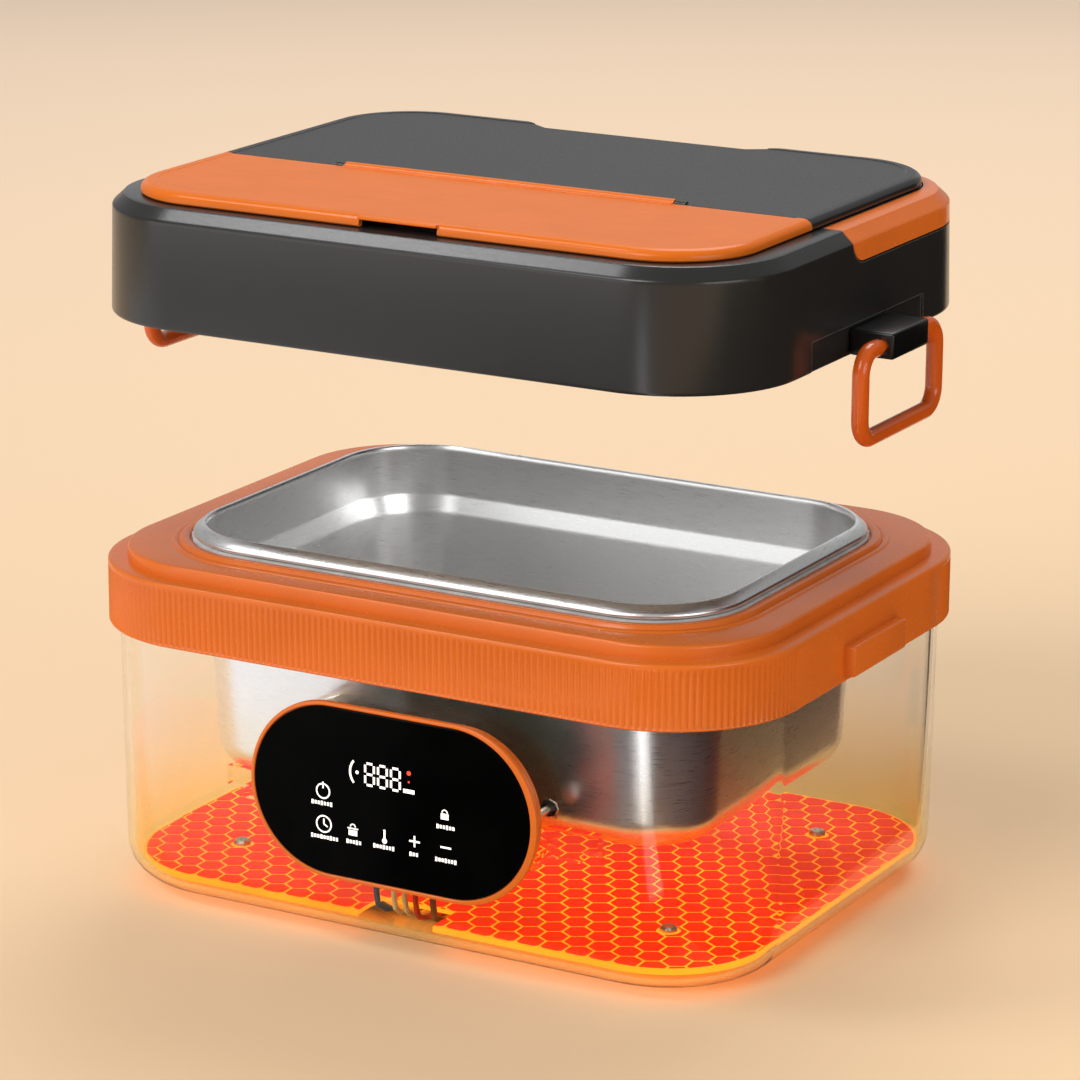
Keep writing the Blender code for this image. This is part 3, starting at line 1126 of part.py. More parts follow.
def make_handle():
    """The carrying handle: the lid's own rim section, cut to a U with round ends on the pivots."""
    handle = loft("handle", lid_rings(HANDLE_LOW_Z, False))
    form = handle_region("handle_form", RUN_GAP, HANDLE_END_RADIUS, HANDLE_LOW_Z - OVER)
    combine(handle, form, "INTERSECT")
    for side in (-1, 1):
        xs = sorted((side * (TOP_HALF_X - OVER), side * (TOP_HALF_X + HANDLE_PIN_GRIP + FIT_GAP)))
        bore = rod(f"handle_bore_{side}", HANDLE_PIN_RADIUS + FIT_GAP, xs[0], xs[1],
                   (0, HANDLE_PIVOT_Y, HANDLE_PIVOT_Z), "x", steps=SMALL_STEPS)
        combine(handle, bore)
    finish(handle, material("orange_handle_plastic", ORANGE, 0.35), HANDLE_JOINT)


def make_well():
    """The cutlery tray that hangs by its flange in the lid's roof."""
    depth_y = (WELL_FRONT_Y, WELL_BACK_Y)
    low = TOP_BASE_Z - WELL_DEPTH
    top = TOP_BASE_Z + WELL_FLANGE_THICKNESS

    def well_ring(outward, z):
        outline = rounded_outline((-WELL_HALF_X - outward, WELL_HALF_X + outward),
                                  (depth_y[0] - outward, depth_y[1] + outward), WELL_CORNER + outward, 5)
        return [(x, y, z) for x, y in outline]

    rings = [well_ring(*point) for point in (
        (-WELL_WALL - 0.0020, low + WELL_WALL), (-WELL_WALL, low + WELL_WALL + 0.0020), (-WELL_WALL, top),
        (WELL_FLANGE, top), (WELL_FLANGE, TOP_BASE_Z), (0, TOP_BASE_Z), (0, low + 0.0020), (-0.0020, low),
    )]
    finish(loft("cutlery_well", rings), material("well_plastic", (0.12, 0.12, 0.12), 0.5), LID_JOINT)


def make_liner_and_seal():
    """The liner under the lid, stepped down to a seal channel over the pan rim."""
    rim_top = LID_RIM_Z - FIT_GAP
    rim_low = rim_top - LINER_THICKNESS
    centre_low = rim_low - LINER_DROP
    rib_low = centre_low - LINER_RIB_DROP
    seal_out = SEAL_SIDE_GAP
    seal_in = -SEAL_WIDTH - SEAL_SIDE_GAP
    drop_wall = seal_out + LINER_RIB
    edge_gap = 0.0006

    def rim_ring(outward, z):
        return ring(PAN_RIM_HALF_X + outward, PAN_RIM_HALF_Y + outward, PAN_RIM_CORNER + outward, z)

    def edge_ring(z):
        inset = LID_WALL + edge_gap
        return ring(LID_HALF_X - inset, LID_HALF_Y - inset, LID_CORNER - inset, z)

    rings = [rim_ring(*point) for point in (
        (seal_in - LINER_RIB - 0.0010, centre_low), (seal_in - LINER_RIB, rib_low), (seal_in, rib_low),
        (seal_in, centre_low), (seal_out, centre_low), (seal_out, rib_low), (drop_wall, rib_low),
        (drop_wall, rim_low))]
    rings += [edge_ring(rim_low), edge_ring(rim_top)]
    rings += [rim_ring(drop_wall - LINER_THICKNESS, rim_top),
              rim_ring(drop_wall - LINER_THICKNESS, centre_low + LINER_THICKNESS)]
    liner = loft("lid_liner", rings)
    for index, (x, y) in enumerate(liner_screw_places(), 1):
        hole = rod(f"liner_hole_{index}", SCREW_SHANK + FIT_GAP, rim_low - OVER, rim_top + OVER, (x, y, 0),
                   steps=SMALL_STEPS)
        combine(liner, hole)
    finish(liner, material("liner_plastic", (0.30, 0.30, 0.30), 0.5), LID_JOINT)

    seal_low = PAN_TOP_Z + FIT_GAP + LID_LIFT
    seal_top = centre_low - FIT_GAP
    seal_rings = [rim_ring(*point) for point in (
        (-SEAL_WIDTH, seal_top), (-SEAL_WIDTH + 0.0008, seal_low), (-0.0008, seal_low), (0, seal_top))]
    finish(loft("lid_seal", seal_rings, closed=True), material("lid_silicone", RUBBER, 0.6), LID_JOINT)


def bail_route(side):
    """The closed loop of a bail, with the thinner stretch that turns in the block."""
    top_z = BAIL_PIVOT_Z
    low_z = BAIL_PIVOT_Z - BAIL_DROP
    half = BAIL_SPREAD / 2
    corners = rounded_outline((-half, half), (low_z, top_z), BAIL_CORNER, 4)
    points = []
    weights = []
    thin = BAIL_PIN_RADIUS / BAIL_RADIUS
    for index, (y, z) in enumerate(corners):
        points.append((side * BAIL_PIVOT_X, y, z))
        weights.append(1.0)
        if index == 4:
            for along in (BLOCK_LENGTH / 2 + 0.0030, BLOCK_LENGTH / 2 + 0.0012, -BLOCK_LENGTH / 2 - 0.0012,
                          -BLOCK_LENGTH / 2 - 0.0030):
                points.append((side * BAIL_PIVOT_X, along, top_z))
                weights.append(thin if abs(along) < BLOCK_LENGTH / 2 + 0.0020 else 1.0)
    return points, weights


def make_bails():
    block_shade = material("bail_block_plastic", (0.015, 0.015, 0.015), 0.3)
    bail_shade = material("orange_bail_plastic", (0.72, 0.13, 0.02), 0.28)
    for name, side in (("left", -1), ("right", 1)):
        xs = sorted((side * (LID_HALF_X - POCKET_DEPTH + FIT_GAP), side * (LID_HALF_X + BLOCK_OUT)))
        block = box(f"bail_block_{name}", (xs[0], -BLOCK_LENGTH / 2, BAIL_PIVOT_Z - BLOCK_HEIGHT / 2),
                    (xs[1], BLOCK_LENGTH / 2, BAIL_PIVOT_Z + BLOCK_HEIGHT / 2), bevel=0.0006)
        bore = rod(f"bail_bore_{name}", BAIL_PIN_RADIUS + FIT_GAP, -OVER * 2, OVER * 2,
                   (side * BAIL_PIVOT_X, 0, BAIL_PIVOT_Z), "y")
        combine(block, bore)
        finish(block, block_shade, LID_JOINT)
        points, weights = bail_route(side)
        finish(wire(f"bail_{name}", points, BAIL_RADIUS, weights, True, 2), bail_shade, BAIL_JOINT[name])


make_clear_shell()
make_feet()
make_collar()
make_seat_seal()
make_pan()
make_heater_plate()
make_heat_shield()
make_element()
make_controls_on_plate()
make_wires()
make_panel()
make_inlet()
make_lid_shell()
make_rear_panel()
make_front_cover()
make_pins()
make_handle()
make_well()
make_liner_and_seal()
make_bails()
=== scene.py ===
"""Looks of the electric lunch box: finer shells, finishes, panel symbols, studio and camera.

Metres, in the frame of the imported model. Pieces replace CAD nodes only where the finer form shows.
"""

import json
import math

import bmesh
import bpy
from mathutils import Matrix, Vector


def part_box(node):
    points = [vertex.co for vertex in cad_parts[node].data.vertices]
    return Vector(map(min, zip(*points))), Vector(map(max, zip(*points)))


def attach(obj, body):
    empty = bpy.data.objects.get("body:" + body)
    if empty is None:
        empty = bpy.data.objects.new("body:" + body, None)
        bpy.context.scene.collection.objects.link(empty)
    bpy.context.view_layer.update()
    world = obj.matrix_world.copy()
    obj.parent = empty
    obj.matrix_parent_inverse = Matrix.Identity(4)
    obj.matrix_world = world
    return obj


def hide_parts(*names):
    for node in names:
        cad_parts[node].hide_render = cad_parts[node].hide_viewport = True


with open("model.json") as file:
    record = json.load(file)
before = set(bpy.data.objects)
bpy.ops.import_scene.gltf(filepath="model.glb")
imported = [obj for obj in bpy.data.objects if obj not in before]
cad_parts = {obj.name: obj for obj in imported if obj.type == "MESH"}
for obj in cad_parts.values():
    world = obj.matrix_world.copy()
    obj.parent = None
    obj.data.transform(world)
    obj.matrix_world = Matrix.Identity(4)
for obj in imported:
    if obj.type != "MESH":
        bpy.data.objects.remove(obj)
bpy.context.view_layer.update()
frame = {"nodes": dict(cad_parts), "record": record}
NODES = frame["nodes"]

# Fits and fineness
FIT_GAP = 0.0003
RUN_GAP = 0.0005
OVER = 0.01
OVERLAP = 0.001
CORNER_STEPS = 20
ROUND_STEPS = 32
BEND_STEPS = 10
BLOCK_SEGMENTS = 3
EDGE_STEPS = 4
SMOOTH_ANGLE = 35
SIDES = (-1, 1)
CORNER_NUMBERS = range(1, 5)

# Heights and half sizes read from the frame
SHELL_LOW, SHELL_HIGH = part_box("clear_shell")
COLLAR_LOW, COLLAR_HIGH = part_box("collar")
PAN_LOW, PAN_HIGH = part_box("steel_pan")
PLATE_LOW, PLATE_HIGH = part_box("heater_plate")
BEZEL_LOW, BEZEL_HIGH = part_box("control_bezel")
INLET_LOW, INLET_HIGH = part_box("power_inlet")
LID_LOW, LID_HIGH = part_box("lid_shell")
REAR_LOW, REAR_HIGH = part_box("rear_panel")
BLOCK_LOW, BLOCK_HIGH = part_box("bail_block_right")
BAIL_LOW, BAIL_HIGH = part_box("bail_right")

# Clear tub
SHELL_CORNER = 0.041
SHELL_WALL = 0.0025
SHELL_DRAFT = 0.0013
SHELL_FOOT_RADIUS = 0.013
FOOT_RADIUS = 0.008
FOOT_RECESS = 0.0008
SHELL_FLOOR_Z = SHELL_LOW.z + SHELL_WALL
TUB_EASE = 0.0004
INLET_FLANGE = 0.003
BOSS_RADIUS = 0.004
BOSS_ROOT = 0.0008
BOSS_FLOOR = 0.0006
SCREW_BORE = 0.0016

# Collar
COLLAR_WALL = 0.003
COLLAR_CORNER = SHELL_CORNER + FIT_GAP + COLLAR_WALL
COLLAR_HALF_X = SHELL_HIGH.x + FIT_GAP + COLLAR_WALL
COLLAR_LEDGE_Z = COLLAR_LOW.z + 0.0213
COLLAR_ROOF = 0.003
DECK_Z = COLLAR_LEDGE_Z + 0.004
RIDGE_Z = DECK_Z + 0.0016
SEAT_Z = DECK_Z + 0.0004
SEAT_WIDTH = 0.0036
PAN_CLEARANCE = 0.0008
RIB_COUNT_FRONT = 72
RIB_COUNT_CORNER = 32
RIB_DEPTH = 0.0006
LUG_LENGTH = 0.038
LUG_HEIGHT = 0.01
LUG_TOP_DROP = 0.0092
LUG_EDGE = 0.0009
SKIRT_ROUND = 0.001
COLLAR_UNDERCUT = 0.0022
POINTS_PER_RIB = 4
COLLAR_STEPS = POINTS_PER_RIB * RIB_COUNT_CORNER
COLLAR_STRAIGHT = (POINTS_PER_RIB * RIB_COUNT_FRONT, 10)
COLLAR_SIZE = (COLLAR_HALF_X, COLLAR_HIGH.y, COLLAR_CORNER)
RIB_WAVE = (0.0, 0.55, 1.0, 0.55)
COLLAR_SMOOTH = 40

# Collar profile: inset and height from the skirt's end, from the ledge and from the deck
SKIRT_FOOT = ((COLLAR_WALL, 0.0), (0.0006, 0.0), (0.0002, 0.0002), (0, 0.0006), (0, 0.0012))
SKIRT_TOP = ((0, -0.0026), (0, -0.0018))
RIBBED_RINGS = range(4, 6)
DECK_WALL = ((0, 0.0), (0, 0.0008))
DECK_EDGE = (0.0002, -0.001)

# Collar ridges: distance out from the pan's lip and height from the deck and from the ridge
DECK_RIDGE = ((0.0106, 0.0), (0.0102, 0.0004), (0.0098, 0.0005), (0.0088, 0.0005), (0.0084, 0.0003),
              (0.0082, 0.0002), (0.0078, 0.001))
SEAT_RIDGE_OUT = ((0.0074, -0.0001), (0.007, 0.0))
SEAT_RIDGE_IN = ((0.0008, 0.0), (0.0003, -0.0002), (0.0, -0.0006))

# Pan
PAN_CORNER = 0.0324
PAN_LIP = 0.0033
PAN_LIP_Z = PAN_HIGH.z - 0.004
PAN_SHEET = 0.0009
PAN_STEP_DROP = 0.0185
PAN_STEP_FALL = 0.0052
PAN_STEP_IN = 0.0022
PAN_TAPER = 0.0022
PAN_FOOT_RADIUS = 0.011
PAN_STEP_LIFT = 0.0003

# Pan profile: inset and height from the rim's top, from the lip's underside and from the step's ends
PAN_RIM_TOP = ((PAN_LIP + 0.0006, -0.0001), (PAN_LIP + 0.0001, 0.0), (PAN_LIP - 0.0004, -0.0001),
               (0.0007, -0.002), (0.0002, -0.0024), (0, -0.0029))
PAN_RIM_LOW = ((0, 0.0008), (0.0003, 0.0002), (0.0009, 0.0), (PAN_LIP, 0.0))
PAN_STEP_HEAD = ((PAN_LIP, 0.0012), (PAN_LIP + 0.0002, 0.0))
PAN_STEP_FOOT = ((-0.0003, 0.0004), (0.0, -0.0012))
PAN_MOUTH = ((0.0, -0.0022), (0.0001, -0.0008))

# Panel
PANEL_X = (BEZEL_LOW.x + BEZEL_HIGH.x) / 2
PANEL_Z = (BEZEL_LOW.z + BEZEL_HIGH.z) / 2
PANEL_HALF_X = (BEZEL_HIGH.x - BEZEL_LOW.x) / 2
PANEL_HALF_Z = (BEZEL_HIGH.z - BEZEL_LOW.z) / 2
PANEL_FRONT_Y = BEZEL_LOW.y
BEZEL_FLANGE = 0.0016
BEZEL_RING = 0.0014
BEZEL_SLEEVE_IN = 0.0018
BEZEL_SLEEVE_WALL = 0.002
PANEL_BACK_Y = PANEL_FRONT_Y + BEZEL_FLANGE
GLASS_THICKNESS = 0.0008
GLASS_SHIFT = 0.0005
GLASS_EDGE = 0.0002
SYMBOL_HEIGHT = 0.00006
STADIUM_SHARE = 0.9999
PANEL_BOSS_RADIUS = 0.0042
PANEL_BOSS_START = 0.0004
PANEL_BOSS_END = 0.0002
PANEL_BORE_START = 0.0012
BEZEL_EDGE = ((0, 0.0006), (0.0002, 0.0002), (0.0006, 0))
POCKET_EDGE = ((0.0003, 0), (0, 0.0003))

# Lid
LID_CORNER = 0.041
LID_WALL = 0.0028
LID_Z = LID_LOW.z
LEDGE_Z = LID_HIGH.z
LID_SHOULDER_Z = LID_Z + 0.0344
LID_SHOULDER_IN = 0.0008
LID_CHAMFER = 0.004
LID_RIM_Z = LID_Z + 0.0229

# Lid profile: inset and height from the foot, from the shoulder and from the chamfer's upper end
LID_FOOT = ((0.001, 0.0), (0.0004, 0.0001), (0.0001, 0.0005), (0, 0.0012))
LID_SHOULDER = ((0.0, -0.001), (0.0, -0.0002), (0.0001, 0.0001), (0.0003, 0.0004), (0.0006, 0.0008))
LID_LEDGE = ((-0.0005, -0.0006), (-0.0002, -0.0002), (0.0002, -0.0001), (0.0006, 0.0))

# Raised top, with the front cover and its hinge
UPPER_WALL = 0.0025
UPPER_CORNER = 0.02
TOP_BASE_Z = REAR_LOW.z
TOP_Z = LEDGE_Z + 0.004
TOP_HALF_X = REAR_HIGH.x
TOP_FRONT_Y = -0.0835
TOP_BACK_Y = REAR_HIGH.y
TOP_CORNER = 0.029
TOP_FOOT = 0.0005
TOP_WALL_SHARE = 0.3
TOP_ROUND = 0.0034
TOP_ROUND_ANGLES = (15, 30, 45, 60, 75)
TOP_LINE = ((0.005, 0.0), (0.0053, -0.00025), (0.0057, -0.00025))
COVER_REAR_Y = -0.0179
COVER_SPLIT = 0.0006
COVER_SKIN = 0.002
COVER_RIM = 0.0022
NOTCH_HALF_X = 0.038
NOTCH_SLANT = 0.014
NOTCH_DEPTH = 0.0093
SCOOP_DEPTH = 0.005
TAB_HALF_X = 0.014
TAB_REACH = 0.0016
TAB_THICKNESS = 0.0012
TAB_ROOT = 0.005
TAB_SHORT = 0.0006
TAB_EDGE = 0.0004
SKIN_STEP = 0.0001
WEB_REACH = 0.0012
WEB_DROP = 0.0008
RECESS_DEPTH = 0.003
BARREL_RADIUS = 0.0019
BARREL_RISE = 0.001
EAR_RADIUS = 0.0015
HINGE_PIN_RADIUS = 0.0007
HINGE_PLAY = 0.0002
HINGE_HALF_X = 0.06
EAR_LENGTH = 0.0036
EAR_GAP = 0.0004
HINGE_AT = (0, COVER_REAR_Y + BARREL_RADIUS, TOP_Z + BARREL_RISE - BARREL_RADIUS)
WELL_LOW, WELL_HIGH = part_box("cutlery_well")
WELL_FLANGE = 0.005
WELL_CORNER = 0.008
SCREW_HOLE_RISE = 0.0038
LINER_SCREW_X = 0.109
LINER_SCREW_Y = 0.045

# Carrying handle
HANDLE_HEIGHT = 0.01
HANDLE_PIVOT = (0, -0.0035, LEDGE_Z - 0.0025)
HANDLE_LOW_Z = LEDGE_Z - HANDLE_HEIGHT
HANDLE_END_RADIUS = 0.0076
HANDLE_PIN_RADIUS = 0.0014
HANDLE_PIN_ROOT = 0.006
HANDLE_PIN_GRIP = 0.0065

# Bails
BAIL_RADIUS = 0.0027
BAIL_PIN_RADIUS = 0.0021
BAIL_X = (BAIL_LOW.x + BAIL_HIGH.x) / 2
BAIL_PIVOT_Z = (BLOCK_LOW.z + BLOCK_HIGH.z) / 2
BAIL_LOW_Z = BAIL_LOW.z + BAIL_RADIUS
BAIL_HALF = BAIL_HIGH.y - BAIL_RADIUS
BAIL_CORNER = 0.007
POCKET_HALF = 0.04
POCKET_HEIGHT = 0.0095
POCKET_DEPTH = 0.001
BAIL_CORNER_STEPS = 8
BAIL_NECK_FAR = 0.003
BAIL_NECK_NEAR = 0.0012
BLOCK_EDGE = 0.0009

# Honeycomb of the heater plate
HEX_PITCH = 0.0086
HEX_LINE = 0.0011
HEX_HEIGHT = 0.00025
HEX_ANGLES = [math.radians(30 + 60 * index) for index in range(6)]
PAD_MARGIN = 0.001
PAD_SINK = 0.0001
PAD_OVER = 0.0002
PAD_CLEARING = 0.004
PLATE_NOTCHES = ((-1, 0.0152), (1, 0.0232))
PLATE_NOTCH_HALF = 0.014
PLATE_NOTCH_REACH = 0.002

# Panel marks, in millimetres about the panel's middle
MM_PER_M = 1000
HALF_TURN = 180
ICON_LINE = 0.5
DISC_END = 345
DISC_STEPS = 23
DIGIT_COUNT = 3
DIGIT_U = -7.8
DIGIT_PITCH = 4.75
DIGIT_SIZE = (8.0, 3.2, 7.1, 0.78)
DIGIT_GAP = 0.18
CAPTION_HEIGHT = 1.15
CAPTION_PITCH = 1.15
CAPTION_FILL = 0.68
CAPTION_TALL = 1.25
CLOCK = (-24.9, -11.4)
CLOCK_TIPS = ((-24.9, -9.6), (-23.5, -12.2))

# Bars: middle, width and height. Signal line, power, pot, tube, plus, minus and lock
BARS = ((6.6, 4.9, 4.1, 1.3), (-25.1, 1.6, ICON_LINE, 2.2), (-14.1, -12.5, 3.2, 1.8),
        (-14.1, -11.05, 3.9, 0.45), (-2.4, -11.0, 0.7, 3.3), (8.6, -11.3, 3.9, 0.6),
        (8.6, -10.2, 0.6, 1.5), (8.6, -12.4, 0.6, 1.5), (20.0, -11.3, 3.9, 0.6), (19.6, -1.1, 2.8, 2.0))
# Arcs: middle, radius, line, start and end. Bracket, power, clock, pot and lock
ARCS = ((-9.6, 8.0, 5.4, 0.75, 138, 222), (-25.1, -0.4, 2.4, ICON_LINE, 0, 360),
        (*CLOCK, 2.7, ICON_LINE, 0, 360), (-14.1, -10.5, 0.9, 0.4, 0, 180),
        (19.6, 0.1, 0.95, 0.4, 0, 180))
# Discs: middle and radius
DISCS = ((-12.4, 8.0, 0.6), (-2.4, -13.1, 0.9))
RED_DISCS = ((6.6, 10.9, 0.75), (6.6, 8.0, 0.35))
# Captions: middle and width
CAPTIONS = ((-25.6, -4.5, 8.5), (-24.7, -15.8, 9.8), (-13.8, -15.5, 6.3), (-2.7, -15.2, 7.6),
            (8.3, -15.6, 3.8), (20.0, -15.6, 7.6), (19.9, -4.6, 6.7))


# Outlines and lofts

def arc_points(centre, radius, start, end, steps):
    """Points of an arc in a plane, from one angle to another in degrees."""
    points = []
    for step in range(steps + 1):
        angle = math.radians(start + (end - start) * step / steps)
        points.append((centre[0] + radius * math.cos(angle), centre[1] + radius * math.sin(angle)))
    return points


def rounded(x_range, y_range, radius, steps=CORNER_STEPS, straight=(1, 1)):
    """Points of a rounded rectangle, anticlockwise, with more points on straight sides if asked."""
    low_x, high_x = (x_range[0] + radius, x_range[1] - radius)
    low_y, high_y = (y_range[0] + radius, y_range[1] - radius)
    hubs = ((high_x, high_y), (low_x, high_y), (low_x, low_y), (high_x, low_y))
    arcs = [arc_points(hub, radius, 90 * turn, 90 * turn + 90, steps) for turn, hub in enumerate(hubs)]
    points = []
    for index, arc in enumerate(arcs):
        end = Vector(arc[-1])
        after = Vector(arcs[(index + 1) % 4][0])
        cuts = straight[index % 2]
        points += arc + [tuple(end.lerp(after, cut / cuts)) for cut in range(1, cuts)]
    return points


def inset_rings(half_x, half_y, radius, profile, steps=CORNER_STEPS, straight=(1, 1)):
    """Rings of a rounded rectangle, one for each inset and height of a profile."""
    rings = []
    for inset, z in profile:
        x = half_x - inset
        y = half_y - inset
        outline = rounded((-x, x), (-y, y), radius - inset, steps, straight)
        rings.append([(u, v, z) for u, v in outline])
    return rings


def raised(profile, z, inset=0.0):
    """A profile table moved to a height, and inward if asked."""
    return [(inset + inward, z + height) for inward, height in profile]


def flat_middle(node):
    """The middle of a CAD node, at height 0."""
    low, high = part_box(node)
    return ((low.x + high.x) / 2, (low.y + high.y) / 2, 0)


def side_range(side, near, far):
    """Two distances from the middle, on one side, in rising order."""
    return sorted((side * near, side * far))


def panel_ring(inset, y, half=(PANEL_HALF_X, PANEL_HALF_Z), centre=(PANEL_X, PANEL_Z)):
    """The panel's stadium outline, drawn in by an inset."""
    half_x = half[0] - inset
    half_z = half[1] - inset
    outline = rounded((-half_x, half_x), (-half_z, half_z), half_z * STADIUM_SHARE)
    return [(centre[0] + u, y, centre[1] + v) for u, v in outline]


def in_scene(name, data):
    obj = bpy.data.objects.new(name, data)
    bpy.context.scene.collection.objects.link(obj)
    return obj


def mesh_object(name, bm, smooth=SMOOTH_ANGLE):
    bmesh.ops.recalc_face_normals(bm, faces=bm.faces)
    mesh = bpy.data.meshes.new(name)
    bm.to_mesh(mesh)
    bm.free()
    if smooth:
        mesh.shade_smooth()
        mesh.set_sharp_from_angle(angle=math.radians(smooth))
    return in_scene(name, mesh)


def loft(name, rings, closed=False, smooth=SMOOTH_ANGLE):
    """Skins a run of matching rings. A closed run joins its ends, an open one is capped."""
    bm = bmesh.new()
    loops = [[bm.verts.new(point) for point in points] for points in rings]
    pairs = list(zip(loops, loops[1:]))
    if closed:
        pairs.append((loops[-1], loops[0]))
    for lower, upper in pairs:
        count = len(lower)
        for i in range(count):
            bm.faces.new((lower[i], lower[(i + 1) % count], upper[(i + 1) % count], upper[i]))
    if not closed:
        bm.faces.new(loops[0])
        bm.faces.new(loops[-1])
    return mesh_object(name, bm, smooth)


def prism(name, outline, low, high):
    return loft(name, [[(x, y, low) for x, y in outline], [(x, y, high) for x, y in outline]])


def block(name, low, high, edge=0.0):
    """A box between two corners with rounded edges."""
    low = Vector(low)
    high = Vector(high)
    bm = bmesh.new()
    size = Matrix.Diagonal((*(high - low), 1))
    bmesh.ops.create_cube(bm, size=1.0, matrix=Matrix.Translation((low + high) / 2) @ size)
    if edge:
        bmesh.ops.bevel(bm, geom=bm.edges[:], offset=edge, segments=BLOCK_SEGMENTS, profile=0.5,
                        affect="EDGES")
    return mesh_object(name, bm)


def beam(name, half_x, y_range, z_range, edge=0.0):
    """A block as far to the left as to the right."""
    return block(name, (-half_x, y_range[0], z_range[0]), (half_x, y_range[1], z_range[1]), edge)


def slab(name, half_x, y_range, radius, low, high):
    return prism(name, rounded((-half_x, half_x), y_range, radius), low, high)


AXIS_TURN = {
    "x": Matrix.Rotation(math.radians(90), 4, "Y"),
    "y": Matrix.Rotation(math.radians(-90), 4, "X"),
    "z": Matrix.Identity(4),
}


def circle(radius, across, up, steps):
    """Points of a circle in the plane of two directions."""
    turns = [2 * math.pi * i / steps for i in range(steps)]
    return [radius * (math.cos(turn) * across + math.sin(turn) * up) for turn in turns]


def rod(name, radius, start, end, centre, axis="z"):
    place = Matrix.Translation(centre) @ AXIS_TURN[axis]
    points = circle(radius, Vector((1, 0, 0)), Vector((0, 1, 0)), ROUND_STEPS)
    return loft(name, [[place @ (point + Vector((0, 0, along))) for point in points]
                       for along in (start, end)])


def shaped(obj, tool, operation="DIFFERENCE"):
    """Cuts, joins or intersects at once, and removes the tool."""
    change = obj.modifiers.new("shape", "BOOLEAN")
    change.operation = operation
    change.solver = "EXACT"
    change.object = tool
    graph = bpy.context.evaluated_depsgraph_get()
    mesh = bpy.data.meshes.new_from_object(obj.evaluated_get(graph))
    obj.modifiers.clear()
    obj.data = mesh
    mesh.shade_smooth()
    mesh.set_sharp_from_angle(angle=math.radians(SMOOTH_ANGLE))
    bpy.data.objects.remove(tool, do_unlink=True)
    return obj


# Materials

NOISE_LOW = 0.3
NOISE_HIGH = 0.7
BEVEL_SAMPLES = 4
# Paler plastic edges: partly rubbing, partly a painted highlight along edges
EDGE_PALE_RUB_AND_HIGHLIGHT = 1.35
SIDE_GLOSS = 0.55
# Painted glow: an amber tint low in the clear tub, standing in for the hot plate's light
PAINTED_GLOW_HEIGHTS = (0.01, 0.055)
PAINTED_GLOW_TINT = (1.0, 0.84, 0.46)
CLEAR_SHADOW = (0.93, 0.93, 0.93)
GLASS_BLACK = (0.0012, 0.0012, 0.0012)
GLASS_LOW = (0.0008, 0.0008, 0.0008)
GLASS_SMEAR = (0.002, 0.002, 0.002)
ORANGE = (0.72, 0.158, 0.017)
ORANGE_BAIL = (0.62, 0.098, 0.006)
ORANGE_TOP = (0.74, 0.16, 0.01)
DARK = (0.019, 0.019, 0.0188)
DARK_TOP = (0.019, 0.019, 0.0187)

SHADES = {}


